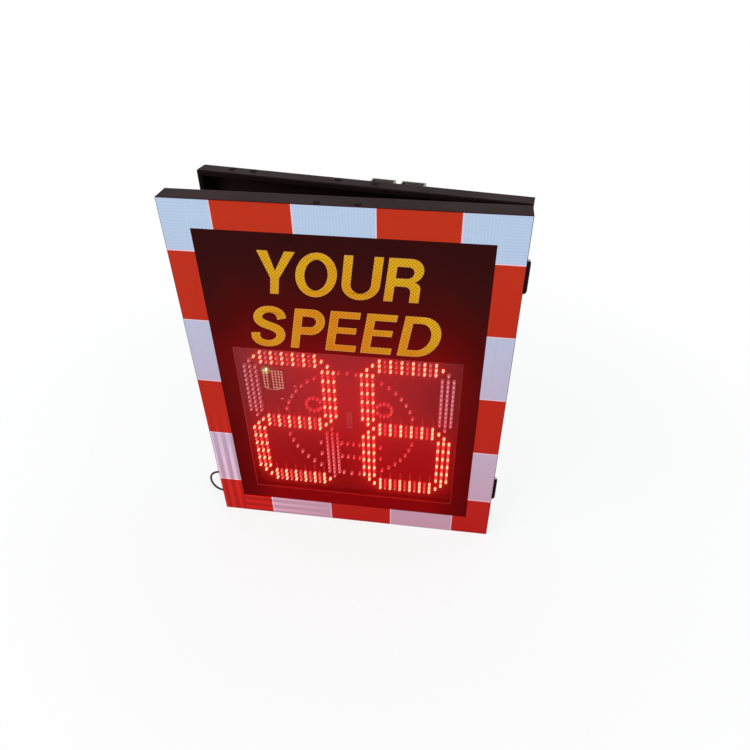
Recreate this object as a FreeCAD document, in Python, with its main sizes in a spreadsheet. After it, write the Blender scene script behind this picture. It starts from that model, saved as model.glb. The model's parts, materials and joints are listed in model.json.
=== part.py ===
import FreeCAD, Part

import math
import os
import re

import Sketcher
from FreeCAD import Placement, Rotation, Vector

# Radar speed sign: a display door hinged to a shallow rear case, standing ajar on its lower edges.
# Frame: X to the right, Y to the back, Z up. The origin is the middle of the rear case's underside.
# The door's pieces are laid out with the sign shut, and each is then swung to the ajar angle.

SIZES = [
    ("door_w", 665, "width of the display door"),
    ("door_d", 50, "depth of the display door"),
    ("box_h", 805, "height of door and case"),
    ("case_w", 650, "width of the rear case"),
    ("case_d", 36, "depth of the rear case"),
    ("sheet_t", 1.5, "sheet metal of both trays"),
    ("lip_w", 10, "return lip round the mouth of a tray"),
    ("bend_r", 6, "outer radius of the bends at the back of a tray"),
    ("seam_gap", 4, "gap between door and case when shut"),
    ("seal_gap", 0.4, "clearance of the seal under the shut door"),
    ("seal_inset", 1, "margin of the seal on its lip"),
    ("ajar", 8.4, "angle at which the door stands open, degrees"),
    ("panel_t", 4, "front panel"),
    ("window_w", 478, "width of the clear window"),
    ("window_h", 405, "height of the clear window"),
    ("window_t", 2, "thickness of the clear window"),
    ("window_z", 295, "height of the window's middle"),
    ("window_r", 2, "corner radius of the window"),
    ("window_ledge", 4, "ledge that carries the window"),
    ("window_fit", 0.3, "clearance round the window"),
    ("window_sink", 0.2, "depth of the window below the panel's face"),
    ("tape_w", 54.6, "width of the reflective tape"),
    ("tape_t", 0.4, "thickness of the reflective tape"),
    ("tape_margin", 1, "margin of the tape at the panel's edge"),
    ("board_w", 490, "width of the LED board"),
    ("board_h", 415, "height of the LED board"),
    ("board_t", 1.6, "thickness of the circuit boards"),
    ("lamp_back", 4, "depth of the lamp tips behind the panel's face"),
    ("lamp_len", 8.5, "length of a lamp"),
    ("lamp_w", 4.4, "width of a lamp"),
    ("lamp_pitch", 11.7, "lamp spacing along a digit's segment"),
    ("lamp_row", 12, "lamp spacing across a digit's segment"),
    ("lamp_clear", 9, "least distance of a face lamp from a digit's lamp"),
    ("segment_lamps", 11, "lamps along a segment"),
    ("digit_pitch", 253, "distance between the middles of the two digits"),
    ("digit_z", 302, "height of the digits' middle"),
    ("digit_half", 84.7, "side segments from the digit's middle"),
    ("digit_rise", 85, "half the distance between a digit's level segments"),
    ("face_r", 145, "radius of the face sign's outline"),
    ("face_lamps", 48, "lamps round the face sign"),
    ("eye_x", 78, "eyes from the middle of the face"),
    ("eye_rise", 55, "eyes above the middle of the face"),
    ("eye_r", 17, "radius of an eye"),
    ("eye_lamps", 12, "lamps round an eye"),
    ("mouth_drop", 72.5, "mouth below the middle of the face"),
    ("mouth_gap", 40, "distance between the two mouth rows"),
    ("mouth_pitch", 15, "lamp spacing along the mouth"),
    ("mouth_half", 69, "mouth corners from the middle of the face"),
    ("mouth_curl", 3, "turn of the mouth's corners"),
    ("header_w", 14, "width of the pin connector"),
    ("header_h", 50, "height of the pin connector"),
    ("header_t", 5, "height of the pin connector above the board"),
    ("header_rise", 20, "pin connector above the digits' middle"),
    ("post_r", 4, "radius of the LED board's standoffs"),
    ("post_in", 16, "standoffs from the LED board's edges"),
    ("radar_w", 50, "width of the radar board"),
    ("radar_h", 62, "height of the radar board"),
    ("radar_x", 163.5, "radar board left of the door's middle"),
    ("radar_z", 419, "height of the radar board's middle"),
    ("radar_lift", 2.5, "radar board above the LED board"),
    ("radar_post_r", 1.6, "radius of the radar board's standoffs"),
    ("radar_post_in", 3, "standoffs from the radar board's edges"),
    ("status_x", 174.4, "status lamp left of the door's middle"),
    ("status_z", 443.6, "height of the status lamp"),
    ("status_r", 1.5, "radius of the status lamp"),
    ("status_len", 3, "length of the status lamp"),
    ("driver_w", 160, "width of the driver board"),
    ("driver_h", 100, "height of the driver board"),
    ("driver_z", 250, "height of the driver board's middle"),
    ("driver_lift", 10, "driver board in front of the door's back"),
    ("driver_post_in", 8, "standoffs from the driver board's edges"),
    ("coil_w", 18, "side of a part on the driver board"),
    ("coil_t", 9, "height of a part on the driver board"),
    ("coil_pitch", 40, "spacing of the parts on the driver board"),
    ("hinge_h", 66, "height of a hinge"),
    ("hinge_top", 137, "upper hinge's middle below the top"),
    ("hinge_bottom", 110, "lower hinge's middle above the bottom"),
    ("knuckle_r", 6, "radius of a hinge knuckle"),
    ("knuckle_tip", 4.2, "radius of a hinge's tapered ends"),
    ("knuckle_taper", 5, "length of a hinge's tapered ends"),
    ("knuckle_gap", 0.4, "clearance between knuckles"),
    ("leaf_w", 30, "width of a hinge leaf from the pin"),
    ("leaf_t", 2, "thickness of a hinge leaf"),
    ("pin_r", 2.5, "radius of a hinge pin"),
    ("pin_fit", 0.05, "running clearance of a hinge pin"),
    ("pin_head_r", 3.6, "radius of a hinge pin's head"),
    ("pin_head_t", 1.5, "thickness of a hinge pin's head"),
    ("lock_in", 30, "locks from the free edge of the narrower of door and case"),
    ("lock_end", 190, "locks from the top and bottom"),
    ("barrel_r", 8.5, "radius of a lock barrel"),
    ("barrel_len", 24, "length of a lock barrel inside the back"),
    ("flange_r", 11, "radius of a lock's flange"),
    ("flange_t", 3, "thickness of a lock's flange"),
    ("hole_fit", 0.2, "clearance of a fitting in its hole"),
    ("nut_r", 12, "outer radius of a lock nut or supply gland nut"),
    ("nut_t", 4, "thickness of a nut"),
    ("nut_fit", 0.1, "clearance of a nut on its thread"),
    ("spindle_r", 5, "radius of a lock spindle"),
    ("spindle_fit", 0.05, "running clearance of a lock spindle"),
    ("collar_r", 7, "radius of the collar on a lock spindle"),
    ("collar_t", 2, "thickness of the collar on a lock spindle"),
    ("collar_gap", 0.1, "end float of a lock spindle"),
    ("key_w", 2, "width of the key slot"),
    ("key_len", 8, "length of the key slot"),
    ("key_deep", 1.5, "depth of the key slot"),
    ("bar_len", 36, "length of a lock's T-bar"),
    ("bar_w", 8, "width of a lock's T-bar"),
    ("bar_t", 3, "thickness of a lock's T-bar"),
    ("bar_gap", 1, "T-bar past the inside of the shut door's back"),
    ("keeper_gap", 2, "clearance of the T-bar in its slot"),
    ("channel_mid", 69.6, "middle of the channel pair, towards the hinges"),
    ("channel_pitch", 58.5, "distance between the two channels"),
    ("channel_w", 46, "width of a channel"),
    ("channel_lip", 12, "width of the lips on which a channel is fixed"),
    ("channel_d", 20, "depth of a channel"),
    ("channel_t", 2, "thickness of a channel"),
    ("channel_top", 3, "channels below the top of the case"),
    ("channel_bottom", 20, "channels above the bottom of the case"),
    ("slot_w", 9, "width of a channel's slot"),
    ("slot_len", 30, "length of a channel's slot"),
    ("slot_pitch", 500, "distance between a channel's slots"),
    ("plug_r", 7, "radius of a blanking plug's head"),
    ("plug_t", 1.8, "thickness of a blanking plug's head"),
    ("plug_rim", 0.6, "thickness of the head at its rim"),
    ("plug_crown_r", 4.6, "radius of the flat on top of the head"),
    ("plug_neck", 4.5, "neck radius of a blanking plug"),
    ("plug_len", 4, "blanking plug past the sheet"),
    ("plug_mid", -4, "middle of the plug pair on the top of door and case"),
    ("plug_pitch", 73, "distance between the plugs of that pair"),
    ("plug_far", -238, "middle of the second plug pair on the case"),
    ("plug_far_pitch", 45.6, "distance between the plugs of the second pair"),
    ("case_plug_in", 14, "the case's plugs in front of its back"),
    ("door_plug_in", 13.5, "the door's plugs behind the panel's face"),
    ("battery_w", 220, "width of the battery pack"),
    ("battery_h", 150, "height of the battery pack"),
    ("battery_t", 24, "thickness of the battery pack"),
    ("battery_z", 60, "battery pack above the bottom"),
    ("battery_r", 5, "edge radius of the battery pack"),
    ("clamp_w", 40, "height of the battery clamp"),
    ("clamp_t", 2, "thickness of the battery clamp"),
    ("clamp_gap", 0.3, "clearance of the clamp round the battery"),
    ("clamp_foot", 20, "length of the clamp's feet"),
    ("charger_w", 130, "width of the charge controller"),
    ("charger_h", 75, "height of the charge controller"),
    ("charger_t", 22, "thickness of the charge controller"),
    ("charger_x", -200, "left edge of the charge controller"),
    ("charger_z", 290, "bottom of the charge controller"),
    ("rib_w", 4, "width of the grooves between cooling ribs"),
    ("rib_pitch", 10, "spacing of the cooling ribs"),
    ("rib_deep", 6, "depth of the grooves between cooling ribs"),
    ("rib_end", 12, "plain ends beside the cooling ribs"),
    ("strip_w", 104, "width of the terminal block"),
    ("strip_h", 26, "height of the terminal block"),
    ("strip_t", 18, "thickness of the terminal block"),
    ("strip_x", 40, "left edge of the terminal block"),
    ("strip_z", 310, "bottom of the terminal block"),
    ("strip_ways", 8, "ways of the terminal block"),
    ("strip_wall", 3, "walls between the ways"),
    ("strip_deep", 9, "depth of the ways"),
    ("supply_x", -180, "supply gland from the case's middle"),
    ("supply_z", 140, "height of the supply gland"),
    ("supply_r", 8, "thread radius of the supply gland"),
    ("supply_len", 24, "supply gland outside the case"),
    ("supply_base", 6, "thickness of the supply gland's base"),
    ("supply_dome_r", 9, "radius of the supply gland's dome"),
    ("thread_len", 7, "thread of a gland past the sheet"),
    ("grommet_r", 12, "flange radius of the harness grommet"),
    ("grommet_neck", 9, "neck radius of the harness grommet"),
    ("grommet_bore", 6, "bore radius of the harness grommet"),
    ("grommet_t", 2, "flange thickness of the harness grommet"),
    ("grommet_in", 70, "harness grommet from the hinged edge"),
    ("lead_r", 2.5, "radius of the looped lead"),
    ("lead_back", 32, "looped lead behind the panel's face"),
    ("lead_z", 60, "height of the looped lead's middle"),
    ("lead_half", 33, "lead glands above and below that middle"),
    ("lead_base_r", 7, "radius of a lead gland"),
    ("lead_base_t", 4, "lead gland outside the door"),
    ("lead_neck", 5, "thread radius of a lead gland"),
    ("lead_nut_r", 8, "outer radius of a lead gland's nut"),
]

doc = FreeCAD.newDocument("RadarSpeedSign")
sheet = doc.addObject("Spreadsheet::Sheet", "Sizes")
for row, (alias, number, meaning) in enumerate(SIZES, start=1):
    sheet.set(f"A{row}", meaning)
    sheet.set(f"B{row}", str(number))
    sheet.setAlias(f"B{row}", alias)
doc.recompute()

# Places that several pieces share, with the sign shut
CASE_BACK = "case_d/2"
CASE_FLOOR = "(case_d/2 - sheet_t)"
CASE_RIM = "(-case_d/2)"
DOOR_LEFT = "(case_w/2 - door_w)"
DOOR_MID = "(case_w/2 - door_w/2)"
DOOR_BACK = "(-case_d/2 - seam_gap)"
DOOR_FLOOR = "(-case_d/2 - seam_gap - sheet_t)"
DOOR_FRONT = "(-case_d/2 - seam_gap - door_d)"
BOARD_FACE = f"({DOOR_FRONT} + lamp_back + lamp_len)"
BOARD_REAR = f"({BOARD_FACE} + board_t)"
HINGE_X = "(case_w/2 + knuckle_r)"
HINGE_Y = "(-case_d/2 - seam_gap/2)"
LOCK_X = f"(max({DOOR_LEFT}; -case_w/2) + lock_in)"
CASE_PLUG_Y = f"({CASE_BACK} - case_plug_in)"
DOOR_PLUG_Y = f"({DOOR_FRONT} + door_plug_in)"
CASE_PLUGS = {"far_left": "(plug_far - plug_far_pitch/2)", "far_right": "(plug_far + plug_far_pitch/2)",
              "near_left": "(plug_mid - plug_pitch/2)", "near_right": "(plug_mid + plug_pitch/2)"}
DOOR_PLUGS = {"left": f"({DOOR_MID} + plug_mid - plug_pitch/2)",
              "right": f"({DOOR_MID} + plug_mid + plug_pitch/2)"}
HINGE_Z = {"upper": "(box_h - hinge_top)", "lower": "hinge_bottom"}
LOCK_Z = {"upper": "(box_h - lock_end)", "lower": "lock_end"}

MATHS = {"cos", "max", "sin"}
nodes = []


def bind(text):
    """An expression in which each size is read from the sheet."""
    return re.sub(r"[a-z_]+", lambda word: word[0] if word[0] in MATHS else "Sizes." + word[0], text)


def value(text):
    """The number that an expression gives."""
    return float(sheet.evalExpression(bind(text)))


def point(*texts):
    return Vector(*[value(text) for text in texts])


def drive(item, **bound):
    """Bind properties of an object to expressions."""
    for name, text in bound.items():
        item.setExpression(name, bind(text))
    return item


def put(item, x, y, z):
    """Bind an object's place to expressions."""
    for axis, text in zip("xyz", (x, y, z)):
        item.setExpression(f"Placement.Base.{axis}", bind(text))
    return item


def block(name, low, size):
    item = doc.addObject("Part::Box", name)
    drive(item, Length=size[0], Width=size[1], Height=size[2])
    return put(item, *low)


def rod(name, axis, start, radius, length):
    """A cylinder that runs from its start along one of the axes."""
    turns = {"X": Rotation(Vector(0, 1, 0), 90), "Y": Rotation(Vector(1, 0, 0), -90), "Z": Rotation()}
    item = doc.addObject("Part::Cylinder", name)
    item.Placement = Placement(Vector(), turns[axis])
    drive(item, Radius=radius, Height=length)
    return put(item, *start)


def joined(name, pieces):
    item = doc.addObject("Part::MultiFuse", name)
    item.Shapes = pieces
    return item


def cut(name, base, tools):
    item = doc.addObject("Part::Cut", name)
    item.Base = base
    item.Tool = tools[0] if len(tools) == 1 else joined(name + "_tools", tools)
    return item


def ring(name, axis, start, outer, inner, length):
    return cut(name, rod(name + "_outer", axis, start, outer, length),
               [rod(name + "_inner", axis, start, inner, length)])


def swing(item):
    """Turn a piece of the door about the hinge axis to the ajar angle."""
    item.Placement = Placement(Vector(), Rotation(Vector(0, 0, 1), 1))
    item.setExpression("Placement.Rotation.Angle", bind("ajar"))
    return put(item, f"{HINGE_X}*(1 - cos(ajar)) + {HINGE_Y}*sin(ajar)",
               f"{HINGE_Y}*(1 - cos(ajar)) - {HINGE_X}*sin(ajar)", "0")


def node(label, pieces, on_door):
    """Name a sub-part that is made of one or more solids."""
    item = doc.addObject("Part::Compound", label)
    item.Links = pieces
    return name_node(item, label, on_door)


def name_node(item, label, on_door):
    item.Label = label
    if on_door:
        swing(item)
    nodes.append(item)
    return item


def new_sketch(body, role, offset):
    """A sketch on one of a body's origin planes, moved along the plane's normal."""
    plane = next(item for item in body.Origin.OriginFeatures if item.Role == role)
    sketch = body.newObject("Sketcher::SketchObject", body.Name + "_sketch")
    sketch.AttachmentSupport = [(plane, "")]
    sketch.MapMode = "FlatFace"
    sketch.setExpression("AttachmentOffset.Base.z", bind(offset))
    return sketch


def outline(sketch, corners):
    """A closed outline of straight edges whose corners are bound to expressions."""
    first = sketch.GeometryCount
    places = [point(x, y, "0") for x, y in corners]
    count = len(corners)
    for index in range(count):
        sketch.addGeometry(Part.LineSegment(places[index], places[(index + 1) % count]), False)
    for index in range(count):
        following = first + (index + 1) % count
        sketch.addConstraint(Sketcher.Constraint("Coincident", first + index, 2, following, 1))
    for index, corner in enumerate(corners):
        for kind, text, number in zip(("DistanceX", "DistanceY"), corner, places[index]):
            constraint = sketch.addConstraint(Sketcher.Constraint(kind, -1, 1, first + index, 1, number))
            sketch.setExpression(f"Constraints[{constraint}]", bind(text))


def rectangle(left, bottom, width, height):
    right = f"{left} + {width}"
    top = f"{bottom} + {height}"
    return [(left, bottom), (right, bottom), (right, top), (left, top)]


def pad(body, sketch, length):
    item = body.newObject("PartDesign::Pad", body.Name + "_pad")
    item.Profile = sketch
    return drive(item, Length=length)


def plate(name, corners, front, thickness):
    """A body padded from an upright outline, with its front face at the given depth."""
    body = doc.addObject("PartDesign::Body", name)
    sketch = new_sketch(body, "XZ_Plane", f"-({front} + {thickness})")
    outline(sketch, corners)
    pad(body, sketch, thickness)
    return body


def pocket(body, corners, front, depth):
    """Cut an upright outline into a body, from the front towards the back."""
    sketch = new_sketch(body, "XZ_Plane", f"-({front})")
    outline(sketch, corners)
    item = body.newObject("PartDesign::Pocket", body.Name + "_pocket")
    item.Profile = sketch
    return drive(item, Length=depth)


def hollow(body, low, size):
    """Take a block out of a body."""
    item = body.newObject("PartDesign::SubtractiveBox", body.Name + "_hollow")
    drive(item, Length=size[0], Width=size[1], Height=size[2])
    return put(item, *low)


def round_edges(body, radius, chosen):
    """Fillet the edges of a body's last feature that the test picks by their middle and extent."""
    doc.recompute()
    base = body.Tip
    names = [f"Edge{index}" for index, edge in enumerate(base.Shape.Edges, start=1) if chosen(edge.BoundBox)]
    item = body.newObject("PartDesign::Fillet", body.Name + "_round")
    item.Base = (base, names)
    return drive(item, Radius=radius)


def rounded_block(name, left, bottom, width, height, front, depth, radius):
    """A block whose edges round the back are filleted."""
    body = plate(name, rectangle(left, bottom, width, height), front, depth)
    back = value(f"{front} + {depth}")
    round_edges(body, radius, lambda box: abs(box.YMin - back) < 1e-4 and abs(box.YMax - back) < 1e-4)
    return body


def folded_tray(name, left, width, front, depth, holes, on_door):
    """A folded tray with bends round its back and a return lip round its open front."""
    outside = rounded_block(name + "_outside", left, "0", width, "box_h", front, depth, "bend_r")
    inside = rounded_block(name + "_inside", f"{left} + sheet_t", "sheet_t", f"{width} - 2*sheet_t",
                           "box_h - 2*sheet_t", f"({front} + sheet_t)", f"({depth} - 2*sheet_t)",
                           "bend_r - sheet_t")
    mouth = block(name + "_mouth", (f"{left} + lip_w", front, "lip_w"),
                  (f"{width} - 2*lip_w", "2*sheet_t", "box_h - 2*lip_w"))
    node(name, [cut(name + "_folded", outside, [inside, mouth, *holes])], on_door)


def plug_holes(tray, places, y):
    """Holes in a tray's top wall for its blanking plugs."""
    start = "box_h - 2*sheet_t"
    return [rod(f"{tray}_{name}_plug_hole", "Z", (x, y, start), "plug_neck + hole_fit", "3*sheet_t")
            for name, x in places.items()]


def blanking_plugs(tray, places, y, on_door):
    """Plugs with a low crowned head that close spare holes in a tray's top wall."""
    plugs = []
    for name, x in places.items():
        crown = doc.addObject("Part::Cone", f"{tray}_{name}_crown")
        drive(crown, Radius1="plug_r", Radius2="plug_crown_r", Height="plug_t - plug_rim")
        put(crown, x, y, "box_h + plug_rim")
        plugs.append(joined(f"{tray}_{name}_plug", [
            crown, rod(f"{tray}_{name}_rim", "Z", (x, y, "box_h"), "plug_r", "plug_rim"),
            rod(f"{tray}_{name}_neck", "Z", (x, y, "box_h - sheet_t - plug_len"), "plug_neck",
                "sheet_t + plug_len")]))
    node(f"{tray}_plugs", plugs, on_door)


def rear_case():
    """The case's tray, with holes for the locks, the supply gland and the plugs, and the seal on its lip."""
    behind = f"{CASE_FLOOR} - sheet_t"
    holes = [rod(f"{name}_lock_hole", "Y", (LOCK_X, behind, place), "barrel_r + hole_fit", "3*sheet_t")
             for name, place in LOCK_Z.items()]
    holes.append(rod("supply_hole", "Y", ("supply_x", behind, "supply_z"), "supply_r + hole_fit",
                     "3*sheet_t"))
    holes += plug_holes("case", CASE_PLUGS, CASE_PLUG_Y)
    folded_tray("rear_tray", "-case_w/2", "case_w", CASE_RIM, "case_d", holes, False)
    blanking_plugs("case", CASE_PLUGS, CASE_PLUG_Y, False)

    seal_front = "(-case_d/2 - seam_gap + seal_gap)"
    seal = plate("rim_seal", rectangle("-case_w/2 + seal_inset", "seal_inset", "case_w - 2*seal_inset",
                                       "box_h - 2*seal_inset"), seal_front, "seam_gap - seal_gap")
    pocket(seal, rectangle("-case_w/2 + lip_w - seal_inset", "lip_w - seal_inset",
                           "case_w - 2*lip_w + 2*seal_inset", "box_h - 2*lip_w + 2*seal_inset"),
           seal_front, "seam_gap - seal_gap")
    name_node(seal, "rim_seal", False)


def mounting_channels():
    """Two upright lipped channels on the case's back, slotted for pole brackets."""
    for side, sign in (("left", "-"), ("right", "+")):
        middle = f"(channel_mid {sign} channel_pitch/2)"
        web_back = f"({CASE_BACK} + channel_d)"
        lip_back = f"({CASE_BACK} + channel_t)"
        web_front = f"({web_back} - channel_t)"
        half = [("channel_w/2", CASE_BACK), ("channel_w/2", web_back)]
        inner = [("channel_w/2 - channel_t", web_front), ("channel_w/2 - channel_t", lip_back),
                 ("channel_w/2 - channel_lip", lip_back), ("channel_w/2 - channel_lip", CASE_BACK)]
        profile = [(f"{middle} + {x}", y) for x, y in half]
        profile += [(f"{middle} - ({x})", y) for x, y in reversed(half)]
        profile += [(f"{middle} - ({x})", y) for x, y in reversed(inner)]
        profile += [(f"{middle} + {x}", y) for x, y in inner]
        body = doc.addObject("PartDesign::Body", side + "_channel_section")
        sketch = new_sketch(body, "XY_Plane", "channel_bottom")
        outline(sketch, profile)
        pad(body, sketch, "box_h - channel_top - channel_bottom")
        tools = []
        for end, way in (("low", "-"), ("high", "+")):
            place = f"(box_h/2 {way} slot_pitch/2)"
            name = f"{side}_{end}_slot"
            through = f"{web_front} - channel_t"
            straight = "(slot_len - slot_w)"
            tools.append(block(name, (f"{middle} - slot_w/2", through, f"{place} - {straight}/2"),
                               ("slot_w", "3*channel_t", straight)))
            tools += [rod(f"{name}_{tip}", "Y", (middle, through, f"{place} {tip_way} {straight}/2"),
                          "slot_w/2", "3*channel_t") for tip, tip_way in (("foot", "-"), ("head", "+"))]
        node(side + "_channel", [cut(side + "_channel_cut", body, tools)], False)


def hinge(name):
    """A butt hinge on the right walls: two leaves with knuckles on a pin, tapered at both ends."""
    middle = HINGE_Z[name]
    third = "hinge_h/3"
    low = f"({middle} - hinge_h/2)"

    def on_axis(piece, radius, start, length):
        return rod(f"{name}_{piece}", "Z", (HINGE_X, HINGE_Y, start), radius, length)

    def tapered_end(end, start, low_radius, high_radius):
        cone = doc.addObject("Part::Cone", f"{name}_{end}_end")
        drive(cone, Radius1=low_radius, Radius2=high_radius, Height="knuckle_taper")
        return put(cone, HINGE_X, HINGE_Y, start)

    leaf = block(f"{name}_case_plate", ("case_w/2", HINGE_Y, low), ("leaf_t", "leaf_w", "hinge_h"))
    plain = f"({third} - knuckle_taper)"
    solid = joined(f"{name}_case_solid", [
        leaf, tapered_end("low", low, "knuckle_tip", "knuckle_r"),
        on_axis("case_knuckle_low", "knuckle_r", f"{low} + knuckle_taper", plain),
        on_axis("case_knuckle_high", "knuckle_r", f"{low} + 2*{third}", plain),
        tapered_end("high", f"{low} + hinge_h - knuckle_taper", "knuckle_r", "knuckle_tip")])
    node(f"{name}_hinge_case_leaf", [cut(f"{name}_case_leaf_cut", solid, [
        on_axis("case_clear", "knuckle_r + knuckle_gap", f"{low} + {third}", third),
        on_axis("case_bore", "pin_r + pin_fit/2", low, "hinge_h")])], False)

    leaf = block(f"{name}_door_plate", ("case_w/2", f"{HINGE_Y} - leaf_w", low),
                 ("leaf_t", "leaf_w", "hinge_h"))
    solid = joined(f"{name}_door_solid", [
        leaf, on_axis("door_knuckle", "knuckle_r", f"{low} + {third} + knuckle_gap",
                      f"{third} - 2*knuckle_gap")])
    node(f"{name}_hinge_door_leaf", [cut(f"{name}_door_leaf_cut", solid, [
        on_axis("door_clear_low", "knuckle_r + knuckle_gap", low, f"{third} + knuckle_gap"),
        on_axis("door_clear_high", "knuckle_r + knuckle_gap", f"{low} + 2*{third} - knuckle_gap",
                f"{third} + knuckle_gap"),
        on_axis("door_bore", "pin_r + pin_fit", low, "hinge_h")])], True)

    node(f"{name}_hinge_pin", [joined(f"{name}_pin_solid", [
        on_axis("pin_shank", "pin_r", low, "hinge_h"),
        on_axis("pin_head", "pin_head_r", f"{low} + hinge_h", "pin_head_t")])], False)


def lock(name):
    """A quarter-turn lock in the case's back: flanged barrel, and spindle with a T-bar for the door."""
    place = LOCK_Z[name]

    def on_axis(piece, start, radius, length):
        return rod(f"{name}_lock_{piece}", "Y", (LOCK_X, start, place), radius, length)

    barrel_end = f"({CASE_BACK} - barrel_len)"
    face = f"({CASE_BACK} + flange_t)"
    barrel = joined(f"{name}_barrel_solid", [on_axis("flange", CASE_BACK, "flange_r", "flange_t"),
                                             on_axis("body", barrel_end, "barrel_r", "barrel_len")])
    node(f"{name}_lock_barrel", [cut(f"{name}_barrel_cut", barrel, [
        on_axis("bore", barrel_end, "spindle_r + spindle_fit", "barrel_len + flange_t")])], False)

    bar_back = f"({DOOR_FLOOR} - bar_gap)"
    bar_front = f"({bar_back} - bar_t)"
    spindle = joined(f"{name}_spindle_solid", [
        on_axis("shaft", bar_front, "spindle_r", f"{face} - {bar_front}"),
        on_axis("collar", f"{barrel_end} - collar_gap - collar_t", "collar_r", "collar_t"),
        block(f"{name}_bar", (f"{LOCK_X} - bar_w/2", bar_front, f"{place} - bar_len/2"),
              ("bar_w", "bar_t", "bar_len"))])
    key = block(f"{name}_key", (f"{LOCK_X} - key_w/2", f"{face} - key_deep", f"{place} - key_len/2"),
                ("key_w", "2*key_deep", "key_len"))
    node(f"{name}_lock_spindle", [cut(f"{name}_spindle_cut", spindle, [key])], False)
    return ring(f"{name}_lock_nut_ring", "Y", (LOCK_X, f"{CASE_FLOOR} - nut_t", place), "nut_r",
                "barrel_r + nut_fit", "nut_t")


def case_contents():
    """Battery pack under its clamp, charge controller, terminal block and supply gland."""
    battery = plate("battery_pack", rectangle("-battery_w/2", "battery_z", "battery_w", "battery_h"),
                    f"{CASE_FLOOR} - battery_t", "battery_t")
    round_edges(battery, "battery_r", lambda box: box.YLength > value("battery_t") / 2)
    name_node(battery, "battery_pack", False)

    inside = "(battery_w/2 + clamp_gap)"
    outside = f"({inside} + clamp_t)"
    under = f"({CASE_FLOOR} - battery_t - clamp_gap)"
    foot = f"({CASE_FLOOR} - clamp_t)"
    half = [(f"{outside} + clamp_foot", CASE_FLOOR), (f"{outside} + clamp_foot", foot), (outside, foot),
            (outside, f"{under} - clamp_t")]
    inner = [(inside, under), (inside, CASE_FLOOR)]
    profile = half + [(f"-({x})", y) for x, y in reversed(half)]
    profile += [(f"-({x})", y) for x, y in reversed(inner)] + inner
    clamp = doc.addObject("PartDesign::Body", "battery_clamp")
    sketch = new_sketch(clamp, "XY_Plane", "battery_z + battery_h/2 - clamp_w/2")
    outline(sketch, profile)
    pad(clamp, sketch, "clamp_w")
    name_node(clamp, "battery_clamp", False)

    charger_front = f"({CASE_FLOOR} - charger_t)"
    charger = plate("charge_controller", rectangle("charger_x", "charger_z", "charger_w", "charger_h"),
                    charger_front, "charger_t")
    grooves = int((value("charger_w - 2*rib_end") - value("rib_w")) // value("rib_pitch")) + 1
    for index in range(grooves):
        hollow(charger, (f"charger_x + rib_end + {index}*rib_pitch", charger_front, "charger_z"),
               ("rib_w", "rib_deep", "charger_h"))
    name_node(charger, "charge_controller", False)

    strip_front = f"({CASE_FLOOR} - strip_t)"
    strip = plate("terminal_block", rectangle("strip_x", "strip_z", "strip_w", "strip_h"),
                  strip_front, "strip_t")
    ways = int(value("strip_ways"))
    way_pitch = "((strip_w - strip_wall)/strip_ways)"
    for index in range(ways):
        hollow(strip, (f"strip_x + strip_wall + {index}*{way_pitch}", strip_front, "strip_z + strip_wall"),
               (f"{way_pitch} - strip_wall", "strip_deep", "strip_h - 2*strip_wall"))
    name_node(strip, "terminal_block", False)

    def on_axis(piece, start, radius, length):
        return rod("supply_" + piece, "Y", ("supply_x", start, "supply_z"), radius, length)

    node("supply_gland", [joined("supply_solid", [
        on_axis("thread", f"{CASE_FLOOR} - thread_len", "supply_r", "thread_len + sheet_t"),
        on_axis("base", CASE_BACK, "nut_r", "supply_base"),
        on_axis("dome", CASE_BACK, "supply_dome_r", "supply_len")])], False)
    node("supply_gland_nut", [ring("supply_nut_ring", "Y", ("supply_x", f"{CASE_FLOOR} - nut_t", "supply_z"),
                                   "nut_r", "supply_r + nut_fit", "nut_t")], False)


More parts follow.
